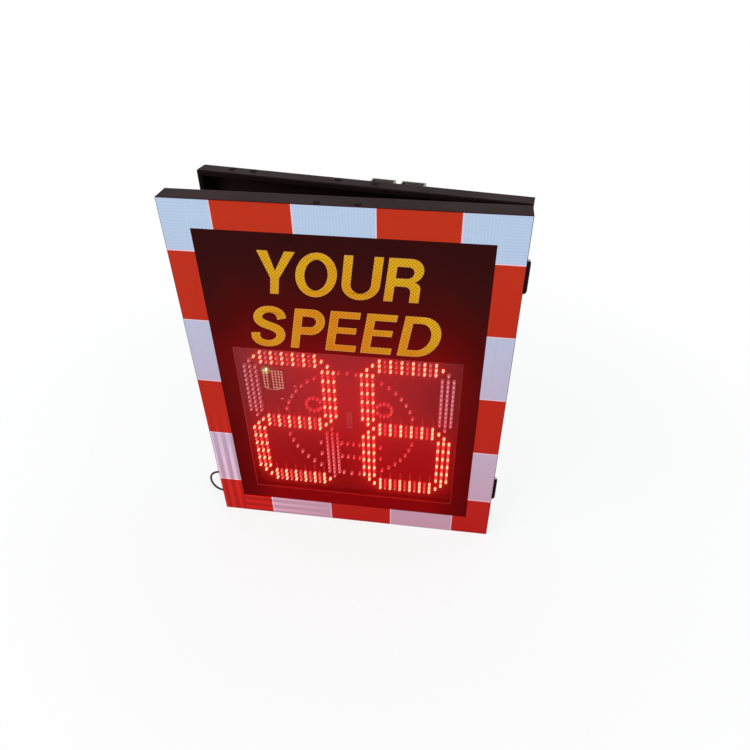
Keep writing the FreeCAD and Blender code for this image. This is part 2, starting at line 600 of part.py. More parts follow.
def door_shell():
    """The door's tray, its front panel with the rebated window, and the reflective tape."""
    slot_w = "(2*spindle_r + keeper_gap)"
    slot_h = "(bar_len + 2*keeper_gap)"
    behind = f"{DOOR_FLOOR} - sheet_t"
    holes = [block(f"{name}_keeper_slot", (f"{LOCK_X} - {slot_w}/2", behind, f"{place} - {slot_h}/2"),
                   (slot_w, "3*sheet_t", slot_h)) for name, place in LOCK_Z.items()]
    holes += [rod(f"{name}_lead_hole", "X",
                  (f"{DOOR_LEFT} - sheet_t", f"{DOOR_FRONT} + lead_back", f"lead_z {way} lead_half"),
                  "lead_neck + hole_fit", "3*sheet_t") for name, way in (("upper", "+"), ("lower", "-"))]
    holes.append(rod("grommet_hole", "Y", ("case_w/2 - grommet_in", behind, "box_h/2"),
                     "grommet_neck + hole_fit", "3*sheet_t"))
    holes += plug_holes("door", DOOR_PLUGS, DOOR_PLUG_Y)
    folded_tray("door_tray", DOOR_LEFT, "door_w", f"({DOOR_FRONT} + panel_t)", "(door_d - panel_t)",
                holes, True)
    blanking_plugs("door", DOOR_PLUGS, DOOR_PLUG_Y, True)

    panel = plate("front_panel", rectangle(DOOR_LEFT, "0", "door_w", "box_h"), DOOR_FRONT, "panel_t")
    rebate_w = "(window_w + 2*window_fit)"
    rebate_h = "(window_h + 2*window_fit)"
    opening_w = "(window_w - 2*window_ledge)"
    opening_h = "(window_h - 2*window_ledge)"
    pocket(panel, rectangle(f"{DOOR_MID} - {rebate_w}/2", f"window_z - {rebate_h}/2", rebate_w, rebate_h),
           DOOR_FRONT, "window_t + window_sink")
    pocket(panel, rectangle(f"{DOOR_MID} - {opening_w}/2", f"window_z - {opening_h}/2", opening_w, opening_h),
           DOOR_FRONT, "panel_t")
    name_node(panel, "front_panel", True)

    window = plate("window", rectangle(f"{DOOR_MID} - window_w/2", "window_z - window_h/2", "window_w",
                                       "window_h"), f"({DOOR_FRONT} + window_sink)", "window_t")
    round_edges(window, "window_r", lambda box: box.YLength > value("window_t") / 2)
    name_node(window, "window", True)

    inner_left = f"{DOOR_LEFT} + tape_w"
    inner_w = "door_w - 2*tape_w"
    full_h = "box_h - 2*tape_margin"
    upright_w = "tape_w - tape_margin"
    strips = {
        "left": rectangle(f"{DOOR_LEFT} + tape_margin", "tape_margin", upright_w, full_h),
        "right": rectangle("case_w/2 - tape_w", "tape_margin", upright_w, full_h),
        "top": rectangle(inner_left, "box_h - tape_w", inner_w, upright_w),
        "bottom": rectangle(inner_left, "tape_margin", inner_w, upright_w),
    }
    for side, corners in strips.items():
        name_node(plate(f"{side}_tape", corners, f"({DOOR_FRONT} - tape_t)", "tape_t"), f"{side}_tape", True)


def digit_lamps(digit_x):
    """Places of one digit's lamps: red and green in turn along each segment, red alone at the corners."""
    pitch = value("lamp_pitch")
    across = value("lamp_row")
    half = value("digit_half")
    rise = value("digit_rise")
    count = int(value("segment_lamps"))
    along = [(index - (count - 1) / 2) * pitch for index in range(count)]
    places = {"red": [], "green": []}
    for index, step in enumerate(along):
        colour = "green" if index % 2 else "red"
        for row in (-across, 0, across):
            places[colour] += [(step, level + row) for level in (-2 * rise, 0, 2 * rise)]
            for side in (-half, half):
                places[colour] += [(side + row, level + step) for level in (-rise, rise)]
    for side in (-1, 1):
        places["red"] += [(side * (half - across), level) for level in (-2 * rise, 0, 2 * rise)]
        for level in (2 * rise - across, across):
            places["red"] += [(side * half, level), (side * half, -level)]
    return {colour: [(digit_x + x, z) for x, z in spots] for colour, spots in places.items()}


def face_lamps(taken):
    """Places of the face sign's lamps, where no digit's lamp, board or connector is in the way."""
    def round_places(x, z, radius, count):
        turns = [2 * math.pi * index / count for index in range(count)]
        return [(x + radius * math.sin(turn), z + radius * math.cos(turn)) for turn in turns]

    places = round_places(0, 0, value("face_r"), int(value("face_lamps")))
    for side in (-1, 1):
        places += round_places(side * value("eye_x"), value("eye_rise"), value("eye_r"),
                               int(value("eye_lamps")))
    pitch = value("mouth_pitch")
    for row in (-1, 1):
        level = row * value("mouth_gap") / 2 - value("mouth_drop")
        places += [(step * pitch, level) for step in (-1.5, -0.5, 0.5, 1.5)]
        places += [(side * value("mouth_half"), level - row * value("mouth_curl")) for side in (-1, 1)]
    clear = value("lamp_clear")
    radar_x = value("radar_x")
    radar_z = value("radar_z - digit_z")
    free = []
    for x, z in places:
        on_radar = (abs(x + radar_x) < value("radar_w") / 2 + clear / 2
                    and abs(z - radar_z) < value("radar_h") / 2 + clear / 2)
        on_header = (abs(x) < value("header_w") / 2 + clear / 2
                     and abs(z - value("header_rise")) < value("header_h") / 2 + clear / 2)
        crowded = any(math.hypot(x - other_x, z - other_z) < clear for other_x, other_z in taken)
        if not (on_radar or on_header or crowded):
            free.append((x, z))
    return free


def lamp_group(name, places):
    """A group of like lamps, seated on the LED board's face."""
    lamp = Part.makeBox(value("lamp_w"), value("lamp_len"), value("lamp_w"))
    corner = point(f"{DOOR_MID} - lamp_w/2", f"{DOOR_FRONT} + lamp_back", "digit_z - lamp_w/2")
    item = doc.addObject("Part::Feature", name + "_lamps")
    item.Shape = Part.makeCompound([lamp.translated(corner + Vector(x, 0, z)) for x, z in places])
    node(name, [item], True)


def corner_rods(name, middle_x, middle_z, width, height, inset, start, radius, length):
    """Four standoffs along Y at the corners of a board."""
    rods = []
    for column, sign_x in (("left", "-"), ("right", "+")):
        for row, sign_z in (("low", "-"), ("high", "+")):
            place = (f"{middle_x} {sign_x} ({width}/2 - {inset})", start,
                     f"{middle_z} {sign_z} ({height}/2 - {inset})")
            rods.append(rod(f"{name}_{column}_{row}", "Y", place, radius, length))
    return rods


def display():
    """The LED board on its standoffs, its lamps, the radar board and the driver board."""
    board = plate("led_board", rectangle(f"{DOOR_MID} - board_w/2", "window_z - board_h/2", "board_w",
                                         "board_h"), BOARD_FACE, "board_t")
    name_node(board, "led_board", True)
    node("board_standoffs", corner_rods("board_post", DOOR_MID, "window_z", "board_w", "board_h", "post_in",
                                        BOARD_REAR, "post_r", f"{DOOR_FLOOR} - {BOARD_REAR}"), True)

    half_pitch = value("digit_pitch") / 2
    tens = digit_lamps(-half_pitch)
    units = digit_lamps(half_pitch)
    for digit, lamps in (("tens", tens), ("units", units)):
        for colour, places in lamps.items():
            lamp_group(f"{digit}_{colour}_lamps", places)
    taken = [place for lamps in (tens, units) for places in lamps.values() for place in places]
    lamp_group("face_sign_lamps", face_lamps(taken))

    header = plate("pin_connector", rectangle(f"{DOOR_MID} - header_w/2",
                                              "digit_z + header_rise - header_h/2", "header_w",
                                              "header_h"), f"({BOARD_FACE} - header_t)", "header_t")
    name_node(header, "pin_connector", True)

    radar_rear = f"({BOARD_FACE} - radar_lift)"
    radar_face = f"({radar_rear} - board_t)"
    radar_mid = f"({DOOR_MID} - radar_x)"
    radar = plate("radar_board", rectangle(f"{radar_mid} - radar_w/2", "radar_z - radar_h/2", "radar_w",
                                           "radar_h"), radar_face, "board_t")
    name_node(radar, "radar_board", True)
    node("radar_standoffs", corner_rods("radar_post", radar_mid, "radar_z", "radar_w", "radar_h",
                                        "radar_post_in", radar_rear, "radar_post_r", "radar_lift"), True)
    node("status_lamp", [rod("status_lamp_rod", "Y", (f"{DOOR_MID} - status_x", f"{radar_face} - status_len",
                                                      "status_z"), "status_r", "status_len")], True)

    driver_rear = f"({DOOR_FLOOR} - driver_lift)"
    driver_face = f"({driver_rear} - board_t)"
    driver = plate("driver_board", rectangle(f"{DOOR_MID} - driver_w/2", "driver_z - driver_h/2", "driver_w",
                                             "driver_h"), driver_face, "board_t")
    name_node(driver, "driver_board", True)
    node("driver_standoffs", corner_rods("driver_post", DOOR_MID, "driver_z", "driver_w", "driver_h",
                                         "driver_post_in", driver_rear, "post_r", "driver_lift"), True)
    node("driver_coils", [block(f"coil_{index}", (f"{DOOR_MID} + ({index})*coil_pitch - coil_w/2",
                                                  f"{driver_face} - coil_t", "driver_z - coil_w/2"),
                                ("coil_w", "coil_t", "coil_w")) for index in (-1, 0, 1)], True)


def rounded_path(points, share):
    """Straight runs joined by tangent arcs; each arc takes the given share of its shorter run."""
    edges = []
    start = points[0]
    for before, corner, after in zip(points, points[1:], points[2:]):
        to_before = (before - corner).normalize()
        to_after = (after - corner).normalize()
        back = share * min((before - corner).Length, (after - corner).Length)
        turn = math.pi - to_before.getAngle(to_after)
        radius = back / math.tan(turn / 2)
        first = corner + to_before * back
        last = corner + to_after * back
        bisector = (to_before + to_after).normalize()
        top = corner + bisector * (radius / math.cos(turn / 2) - radius)
        edges += [Part.LineSegment(start, first).toShape(), Part.Arc(first, top, last).toShape()]
        start = last
        print(f"lead bend radius {radius:.1f} mm")
    edges.append(Part.LineSegment(start, points[-1]).toShape())
    return Part.Wire(edges)


# The lead's route: outwards from the door's wall, along Y, and upwards from the middle of its loop
LEAD_POINTS = [(4, 0, 33), (24, 0.8, 33), (43.5, 1.6, 15), (42, 0.6, -14), (23, -0.8, -33), (4, 0, -33)]
LEAD_ARC_SHARE = 0.45


def looped_lead():
    """A lead that comes out of the door's left wall at one gland and goes back in at the other."""
    base = point(DOOR_LEFT, f"{DOOR_FRONT} + lead_back", "lead_z")
    route = [base + Vector(-out, along, up) for out, along, up in LEAD_POINTS]
    path = rounded_path(route, LEAD_ARC_SHARE)
    radius = value("lead_r")
    section = Part.Wire(Part.makeCircle(radius, route[0], route[1] - route[0]))
    item = doc.addObject("Part::Feature", "lead_tube")
    item.Shape = path.makePipeShell([section], True, True)
    print(f"lead length {path.Length:.1f} mm, tube volume {item.Shape.Volume:.1f},"
          f" section times length {math.pi * radius ** 2 * path.Length:.1f}")
    node("looped_lead", [item], True)

    glands = []
    nuts = []
    for end, way in (("upper", "+"), ("lower", "-")):
        place = (f"{DOOR_FRONT} + lead_back", f"lead_z {way} lead_half")
        inside = f"{DOOR_LEFT} + sheet_t"
        glands.append(joined(f"{end}_lead_gland", [
            rod(f"{end}_lead_base", "X", (f"{DOOR_LEFT} - lead_base_t", *place), "lead_base_r",
                "lead_base_t"),
            rod(f"{end}_lead_neck", "X", (DOOR_LEFT, *place), "lead_neck", "sheet_t + thread_len")]))
        nuts.append(ring(f"{end}_lead_nut", "X", (inside, *place), "lead_nut_r", "lead_neck + nut_fit",
                         "nut_t"))
    node("lead_glands", glands, True)
    node("lead_gland_nuts", nuts, True)


def harness_grommet():
    """A rubber grommet in the door's back, where the harness from the case goes in."""
    def on_axis(piece, start, radius, length):
        return rod("grommet_" + piece, "Y", ("case_w/2 - grommet_in", start, "box_h/2"), radius, length)

    inside = f"({DOOR_FLOOR} - grommet_t)"
    body = joined("grommet_solid", [on_axis("neck", inside, "grommet_neck", "sheet_t + 2*grommet_t"),
                                    on_axis("inside", inside, "grommet_r", "grommet_t"),
                                    on_axis("outside", DOOR_BACK, "grommet_r", "grommet_t")])
    node("harness_grommet", [cut("grommet_cut", body, [
        on_axis("bore", inside, "grommet_bore", "sheet_t + 2*grommet_t")])], True)


def check_and_write():
    """Stop at any object that failed, then write each sub-part to its own file."""
    doc.recompute()
    failed = [item.Name for item in doc.Objects if {"Invalid", "Error"} & set(item.State)]
    failed += [item.Label for item in nodes if item.Shape.isNull() or not item.Shape.isValid()]
    if failed:
        raise RuntimeError("failed: " + ", ".join(failed))
    os.makedirs("parts", exist_ok=True)
    for item in nodes:
        item.Shape.exportStep(f"parts/{item.Label}.step")
    print(len(nodes), "sub-parts,", sum(len(item.Shape.Solids) for item in nodes), "solids")


rear_case()
mounting_channels()
hinge("upper")
hinge("lower")
node("lock_nuts", [lock("upper"), lock("lower")], False)
case_contents()
door_shell()
display()
looped_lead()
harness_grommet()
check_and_write()
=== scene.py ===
import json
import math

import bmesh
import bpy
import numpy as np
from mathutils import Matrix, Vector


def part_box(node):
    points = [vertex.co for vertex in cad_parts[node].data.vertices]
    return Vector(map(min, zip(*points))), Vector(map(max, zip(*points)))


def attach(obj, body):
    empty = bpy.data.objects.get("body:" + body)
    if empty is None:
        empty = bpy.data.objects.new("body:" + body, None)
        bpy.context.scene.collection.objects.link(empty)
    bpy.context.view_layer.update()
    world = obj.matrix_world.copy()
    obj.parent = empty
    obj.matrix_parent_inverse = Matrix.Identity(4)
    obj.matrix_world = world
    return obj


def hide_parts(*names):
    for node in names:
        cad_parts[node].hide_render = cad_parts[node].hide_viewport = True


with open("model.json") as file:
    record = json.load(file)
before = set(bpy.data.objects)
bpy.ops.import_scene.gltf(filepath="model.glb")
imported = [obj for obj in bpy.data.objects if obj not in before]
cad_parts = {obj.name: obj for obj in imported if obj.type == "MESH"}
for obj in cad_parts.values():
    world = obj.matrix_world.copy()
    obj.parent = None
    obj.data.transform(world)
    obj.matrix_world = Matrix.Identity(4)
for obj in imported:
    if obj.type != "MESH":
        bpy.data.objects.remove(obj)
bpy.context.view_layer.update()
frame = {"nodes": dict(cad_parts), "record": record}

bl_info = {
    "name": "Radar Speed Sign",
    "version": (1, 0, 0),
    "blender": (4, 5, 0),
    "location": "View3D > Sidebar > Radar Sign",
    "description": "Dresses a radar speed sign: tape, legend, lamps, boards, fittings and finishes",
    "category": "Object",
}

MM = 0.001

# The door is laid out shut and then swung about its hinge to where it stands ajar.
HINGE = next(joint for joint in frame["record"]["behaviour"]["joints"] if joint["name"] == "door_hinge")
PIVOT = Vector(HINGE["pos_m"])
AJAR = -math.radians(HINGE["range_deg"][0])
DOOR_SWING = Matrix.Translation(PIVOT) @ Matrix.Rotation(AJAR, 4, "Z") @ Matrix.Translation(-PIVOT)

# Places on the shut door, in millimetres
DOOR_MID = -7.5
DOOR_LEFT = -340.0
DOOR_FRONT = -72.0
BOARD_FACE = -59.5
DIGIT_Z = 302.0
WINDOW_LOW = (DOOR_MID - 239.0, -71.8, 92.5)
WINDOW_HIGH = (DOOR_MID + 239.0, -69.8, 497.5)
STATUS_X = DOOR_MID - 174.4
STATUS_Z = 443.6
RADAR_X = DOOR_MID - 163.5
RADAR_Z = 419.0
RADAR_FACE = BOARD_FACE - 4.1
CONNECTOR_Z = 322.0
PINS_Y = BOARD_FACE - 5.6

# Digits, in millimetres: segments of three rows of lamps, with red and green lamps by turns
DIGIT_X = 126.5
SEGMENT_HALF = 84.7
SEGMENT_RISE = 85.0
LAMP_PITCH = 11.7
LAMP_ROW = 12.0
LAMPS_ALONG = 11
# The segments that are lit, by letter: a to f clockwise from the top, and g in the middle
TENS_LIT = "abged"
UNITS_LIT = "afgecd"

# The face sign, in millimetres from the digits' middle: rings by their middle, radius and number of lamps,
# and a mouth of two rows whose ends curl towards each other
FACE_RINGS = ((0, 0, 145, 48), (-78, 55, 17, 12), (78, 55, 17, 12))
MOUTH_Z = -72.5
MOUTH_RISE = 20
MOUTH_X = (-20.7, -6.9, 6.9, 20.7)
MOUTH_ENDS = (-69, 69)
MOUTH_CURL = 3
# What covers lamps, by its middle and half size with room for a lamp: the radar board and the connector
COVERS = ((RADAR_X - DOOR_MID, RADAR_Z - DIGIT_Z, 29.5, 35.5), (0, CONNECTOR_Z - DIGIT_Z, 11.5, 29.5))
LAMP_ROOM = 9

# A lamp: its sides, its flange's height in millimetres, and how much of the dark cup inside shows, from the
# foot to the tip and on the flange
LENS_SIDES = 8
FLANGE_HEIGHT = 1.0
CUP_SHOWN = (1.0, 0.45, 0.0, 0.25)
CUP_ON_FLANGE = 0.35

# The window's cells, and how the light of the lamps spreads in it, with reaches in millimetres
WINDOW_CELLS = (118, 100)
HALO_REACH = 7.0
HALO_SHARE = 0.12
WASH_REACH = 60.0
WASH_SHARE = 0.0125
STATUS_REACH = 6.0
STATUS_SHARE = 1.0
EDGE_WIDTH = 0.7
EDGE_GAIN = 1.3
EDGE_GLOW = 0.015

# The part of the display that lights the panel, by its middle and half size, how far its glow reaches, and
# how much faster it falls off across than up
GLOW_AREA = {"X": (DOOR_MID, 150.0), "Z": (245.0, 175.0)}
GLOW_REACH = 320.0
GLOW_ACROSS = 1.14
# The height at which the display's red glow, painted on the legend, is strongest
LEGEND_GLOW_Z = 470.0

# Each tape in millimetres: the axis that it runs along and where one of its red blocks starts. Where it shows
# bright bands along it: the middle of one, how far they are strong, and where they have faded out
TAPES = {
    "top": ("X", -241.7, None),
    "bottom": ("X", -63.5, (11.7, -260.0, -40.0)),
    "left": ("Z", 555.8, (-297.7, 170.0, 340.0)),
    "right": ("Z", 565.1, None),
}

# The antenna, in millimetres from the radar board's middle: columns of patches, the lines that feed them,
# each from left to right at a level, and the stubs that join the two levels
PATCH_COLUMNS = (-19.5, -12.5, 0.0, 7.0, 14.0, 20.5)
PATCH_ROWS = 7
# The patches are about 5.6 mm apart; they are drawn 7 mm apart so that they show.
PATCH_PITCH = 7.0
PATCH_TOP = 18.5
PATCH_HALF = (1.9, 0.1, 1.6)
COLUMN_LEVELS = (-26, 20)
COLUMN_HALF = 0.15
FEED_LINES = ((-19.5, -12.5, -25.5), (0, 20.5, -25.5), (-16, 10.5, -29.3))
FEED_WIDTH = 0.9
STUBS_X = (-16, 10.5)
STUB_LEVELS = (-30.2, -25.5)
STUB_HALF = 0.5
TRACK_HEIGHT = 0.15

# Small parts on the boards, in millimetres, with half sizes: pins from the connector's middle, rows of chips
# above a digit's level segment, and links from the door's middle and its foot
PIN_COLUMNS = (-5, 0, 5)
PIN_ROWS = (-20.5, -12.3, -4.1, 4.1, 12.3, 20.5)
PIN_HALF = (1.0, 0.7, 1.0)
CHIP_COLUMNS = 6
CHIP_ROWS = (18, 23.5, 29, 34.5)
CHIP_HALF = (0.8, 0.4, 1.0)
WIRE_LINKS = ((-116.9, 400.0), (-149.2, 362.6))
LINK_HALF = (3.2, 0.5, 0.6)

# Screw heads, hinge screws, and the fittings in the case, in millimetres; heads in the case face the door
HEAD_HEIGHT = 0.8
RECESS_DEPTH = 0.6
RECESS_WIDTH = 0.8
FACING_DOOR = -90
LEAF_FACE = 327.0
HINGES_Z = (668, 110)
HINGE_SCREWS = (-22, 0, 22)
LEAF_SCREWS_Y = {"case": -1, "door": -40}
CLAMP_SHEET = 2.0
CLAMP_INSET = 10
CLAMP_STEPS = (-11, 11)
CLAMP_SCREW = 4.0
CONTROLLER_INSET = (6, 9)
CONTROLLER_SCREW = 2.8
CHANNELS_X = (40.35, 98.85)
RIVET_RADIUS = 3.2
RIVET_HEIGHT = 1.4
RIVET_SIDES = (-17, 17)
RIVETS_Z = (40, 240, 440, 600, 760)
WAYS = 8
WAY_WALL = 3.0
WAY_DEPTH = 9.0
WAY_STEPS = (-5, 5)
WAY_SCREW = 3.2

# The lead's route: outwards from the door's wall, along Y, and upwards from the middle of its loop
LEAD_POINTS = [(4, 0, 33), (24, 0.8, 33), (43.5, 1.6, 15), (42, 0.6, -14), (23, -0.8, -33), (4, 0, -33)]
LEAD_BACK = 32.0
LEAD_Z = 60.0
# Its ribbed boot: each step goes along the lead, and then narrows or widens the end that it has reached.
BOOT_RADIUS = 5.6
BOOT_FOOT = 1.2
BOOT_STEPS = ((0, 0.75), (1.6, 1.0), (0, 1.2), (1.2, 1.0), (0, 0.76), (1.6, 1.0), (0, 1.18), (1.2, 1.0),
              (0, 0.78), (1.8, 1.0), (0.4, 0.9))

# The floor, soft lights by place, size and power, and the camera, fitted to the face's corners; in metres
FLOOR_SIZE = 14.0
FLOOR_DROP = 0.0002
LIGHTS = {
    "key_light": ((-1.7, -2.3, 2.5), 2.4, 42.0),
    "fill_light": ((2.3, -1.9, 1.5), 2.0, 16.0),
    "top_light": ((0.2, 0.6, 3.0), 2.6, 26.0),
}
LIGHT_AIM = Vector((0, -0.06, 0.4))
EYE = Vector((0.3864, -1.1346, 1.2179))
VIEW_BACK = Vector((0.2209, -0.7364, 0.6395))
VIEW_RIGHT = Vector((0.9587, 0.2843, -0.0038))
SENSOR_MM = 36.0
FOCAL_MM = 30.56
VIEW_SHIFT = (-0.0105, 0.0641)

# Most of a noise lies between these values.
NOISE_LOW = 0.3
NOISE_HIGH = 0.7

# Plain finishes: dark and light tone, grain in millimetres, roughness, and what else sets each apart
FINISHES = {
    # Extruded PVC: a soft half gloss, slightly mottled
    "black PVC sheath": ("#30140F", "#44211B", 3.0, 0.5, {"on_door": True, "specular": 0.04}),
    # Moulded nylon: satin and nearly black, with a fine grain; on the door and on the case
    "black nylon": ("#0E0909", "#181010", 1.5, 0.6, {"on_door": True, "specular": 0.05}),
    "black nylon fittings": ("#0E0909", "#181010", 1.5, 0.6, {"specular": 0.05}),
    # Drawn steel: bright, with fine rings round the pin
    "bright drawn steel": ("#8E8F92", "#B4B5B8", 6.0, 0.3, {"metallic": 1.0, "stretch": (1, 1, 8)}),
    # Foamed rubber: dull and black, with fine pores
    "closed-cell rubber": ("#120A0A", "#1E1112", 1.5, 0.8, {"bump": 0.3, "specular": 0.03}),
    # Turned brass: yellow and bright
    "turned brass": ("#A8843C", "#C9A552", 4.0, 0.3, {"metallic": 1.0, "on_door": True}),
    # Moulded nylon in the red light of the lamps: dull and dark
    "moulded nylon": ("#3C0A0E", "#480E13", 3.0, 0.5, {"on_door": True, "specular": 0.03}),
    # Moulded nylon with glass fibre: grey and a little cloudy
    "grey moulded nylon": ("#33363A", "#474B50", 3.0, 0.5, {}),
    # Sintered ferrite: dull, dark grey and gritty
    "sintered ferrite": ("#2B2B2E", "#3A3A3D", 1.0, 0.7, {"on_door": True}),
    # Tinned brass, ceramic with tinned ends and tinned copper wire, pink to pale in the red light
    "tinned pins": ("#A8646C", "#C47C84", 2.0, 0.3, {"on_door": True, "specular": 0.1}),
    "tinned ceramic": ("#D8424C", "#EC5A64", 2.0, 0.4, {"on_door": True, "specular": 0.1}),
    "tinned wire": ("#E6B4B0", "#F4CCC8", 2.0, 0.3, {"on_door": True, "specular": 0.1}),
    # Blackened steel: dark brown with a dull shine
    "blackened steel": ("#2A1F1E", "#3C302E", 2.0, 0.4, {"metallic": 0.3, "specular": 0.1}),
    # Extruded aluminium as it left the mill: dull silver with long drawing lines
    "mill-finish aluminium": ("#8C867C", "#A8A196", 8.0, 0.42, {"metallic": 0.9, "stretch": (6, 6, 0.3)}),
    # Chromed zinc: bright and smooth
    "bright chromed zinc": ("#B9BBBE", "#D2D4D6", 10.0, 0.16, {"metallic": 1.0, "bump": 0.02}),
    # Zinc-plated steel: grey and half bright, lightly mottled
    "plated steel": ("#83858A", "#A2A4A8", 5.0, 0.34, {"metallic": 1.0, "bump": 0.03}),
    # Moulded ABS: blue-grey and satin, with a fine moulded grain
    "moulded ABS": ("#20242B", "#2B3038", 1.2, 0.55, {"bump": 0.2}),
    # Anodised aluminium: black with a metallic sheen and lines along the ribs
    "anodised aluminium": ("#1D1D1F", "#2A2A2D", 4.0, 0.4, {"metallic": 0.7, "stretch": (1, 1, 0.1)}),
    # Nickelled brass: pale yellow and bright
    "nickelled brass": ("#A89A74", "#C4B48A", 3.0, 0.3, {"metallic": 1.0}),
}


def tone(code):
    """Linear red, green, blue and alpha of an sRGB hex value."""
    channels = [int(code[place:place + 2], 16) / 255 for place in (1, 3, 5)]
    return (*[part / 12.92 if part <= 0.04045 else ((part + 0.055) / 1.055) ** 2.4 for part in channels], 1.0)


def colour_choice(name, description, code):
    return bpy.props.FloatVectorProperty(name=name, description=description, default=tone(code)[:3], size=3,
                                         subtype="COLOR", min=0.0, max=1.0)


def length_choice(name, description, millimetres):
    return bpy.props.FloatProperty(name=name, description=description, default=millimetres * MM, min=0.0,
                                   unit="LENGTH", subtype="DISTANCE", precision=5)


class RadarSignSizes(bpy.types.PropertyGroup):
    """Sizes of the pieces that the scene adds to the sign."""
    film: length_choice("Legend film", "Thickness of the legend's reflective film", 0.3)
    lens_radius: length_choice("Lens radius", "Radius of a lamp's lens", 2.5)
    flange_radius: length_choice("Flange radius", "Radius of the flange at a lamp's foot", 3.8)
    lens_length: length_choice("Lens length", "Length of a lamp from the board to its tip", 9.7)
    screw_radius: length_choice("Hinge screw radius", "Radius of the hinge screws' heads", 3.4)
    lead_radius: length_choice("Lead radius", "Radius of the looped lead", 2.5)
    tape_block: length_choice("Tape block", "Length of one colour on the reflective tape", 150.0)
    tape_cell: length_choice("Tape cell", "Spacing of the tape's moulded cells", 5.0)
    tape_band: length_choice("Tape band", "Spacing of the bright bands low on the tape", 20.5)
    tape_rib: length_choice("Tape rib", "Spacing of the fine ribs across the tape", 5.5)
    legend_cell: length_choice("Legend cell", "Spacing of the legend film's cells", 5.0)
    legend_rim: length_choice("Legend rim", "Width of the sealed rim round each letter", 1.3)


class RadarSignColours(bpy.types.PropertyGroup):
    """Colours of the sign's finishes."""
    case: colour_choice("Case", "Powder coat of the trays and hinges", "#211213")
    # The powder coat's painted edge highlight, paler along bends and cut edges in patches
    painted_edge_highlight: colour_choice("Worn edge", "Powder coat where its edges are rubbed", "#4C3C3A")
    panel_far: colour_choice("Panel, outer", "Front panel away from the display", "#2E0708")
    panel_near: colour_choice("Panel, inner", "Front panel close round the display", "#8A0307")
    red_high: colour_choice("Tape red, upper", "Red blocks of the tape near the top", "#BE2E12")
    red_low: colour_choice("Tape red, lower", "Red blocks of the tape near the bottom", "#BA0B03")
    white_high: colour_choice("Tape white, upper", "White blocks of the tape near the top", "#B6CAE1")
    white_low: colour_choice("Tape white, lower", "White blocks of the tape near the bottom", "#CB98AA")
    legend_outer: colour_choice("Legend, outer", "Legend film away from the middle", "#DEA50F")
    # The legend film near the display, with the display's red glow painted on it
    legend_painted_glow: colour_choice("Legend, inner", "Legend film near the display", "#DC7C04")
    legend_rim: colour_choice("Legend rim", "Sealed rim of the legend film", "#CE9440")
    haze: colour_choice("Window haze", "Milky tint of the window", "#B04A4F")
    mask: colour_choice("Board mask", "Solder mask of the LED board", "#480508")
    lamp_hot: colour_choice("Lit lamp, tip", "Glow of a lit lamp at its tip", "#FFC298")
    lamp_glow: colour_choice("Lit lamp, base", "Glow of a lit lamp near the board", "#FF1206")
    lamp_dark: colour_choice("Unlit lamp", "Clear lens of an unlit lamp", "#FFD4DC")
    lamp_bathed: colour_choice("Bathed lamp", "Clear lens in the red light of its neighbours", "#F84450")
    lamp_cup: colour_choice("Lamp cup", "Cup that holds the die of an unlit lamp", "#4A0C18")
    gold: colour_choice("Antenna gold", "Plated antenna patches", "#FFDCB8")
    halo: colour_choice("Lamp halo", "Light that the window scatters close round a lit lamp", "#FF5012")
    spill: colour_choice("Red spill", "Red light that the window scatters far from the lit lamps", "#FF1210")
    spill_green: colour_choice("Green spill", "Light that the window scatters by the status lamp", "#B0D48C")


def sizes():
    return bpy.context.scene.radar_sign_sizes


def colours():
    return bpy.context.scene.radar_sign_colours


def rgba(colour):
    return (*colour, 1.0)


def shade(colour, factor):
    """A colour made darker or lighter."""
    return (*[min(1.0, part * factor) for part in colour[:3]], 1.0)


def clear_selection():
    if bpy.context.object and bpy.context.object.mode != "OBJECT":
        bpy.ops.object.mode_set(mode="OBJECT")
    bpy.ops.object.select_all(action="DESELECT")


def only(piece):
    """Select one piece and make it the active one."""
    clear_selection()
    piece.select_set(True)
    bpy.context.view_layer.objects.active = piece


def named(name):
    """Name the piece that an operator has just added."""
    piece = bpy.context.object
    piece.name = name
    piece.data.name = name
    return piece


def edit_faces(piece, test):
    """Go into edit mode with the faces that pass the test selected."""
    only(piece)
    bpy.ops.object.mode_set(mode="EDIT")
    bpy.ops.mesh.select_mode(type="FACE")
    bpy.ops.mesh.select_all(action="DESELECT")
    mesh = bmesh.from_edit_mesh(piece.data)
    for face in mesh.faces:
        if test(face):
            face.select_set(True)
    bmesh.update_edit_mesh(piece.data)


def leave_edit():
    bpy.ops.object.mode_set(mode="OBJECT")


def add_block(name, low, high):
    """A block between two corners, in millimetres."""
    clear_selection()
    middle = [(one + other) / 2 * MM for one, other in zip(low, high)]
    bpy.ops.mesh.primitive_cube_add(size=1.0, location=middle)
    piece = named(name)
    piece.scale = [(other - one) * MM for one, other in zip(low, high)]
    bpy.ops.object.transform_apply()
    return piece


def add_drum(name, sides, radius, depth, middle, turn):
    """A drum of so many sides, in millimetres, with its place put into its mesh."""
    clear_selection()
    bpy.ops.mesh.primitive_cylinder_add(vertices=sides, radius=radius * MM, depth=depth * MM,
                                        location=[number * MM for number in middle], rotation=turn)
    piece = named(name)
    bpy.ops.object.transform_apply()
    return piece


def soften(piece, width, segments, angle=40.0):
    """Round the sharp edges of a piece by a width in millimetres."""
    only(piece)
    bevel = piece.modifiers.new("edge_round", "BEVEL")
    bevel.width = width * MM
    bevel.segments = segments
    bevel.limit_method = "ANGLE"
    bevel.angle_limit = math.radians(angle)
    bpy.ops.object.modifier_apply(modifier=bevel.name)
    return piece


def carve(piece, cutter):
    """Take a cutter out of a piece and remove the cutter."""
    only(piece)
    hole = piece.modifiers.new("recess", "BOOLEAN")
    hole.operation = "DIFFERENCE"
    hole.solver = "EXACT"
    hole.object = cutter
    bpy.ops.object.modifier_apply(modifier=hole.name)
    bpy.data.objects.remove(cutter, do_unlink=True)


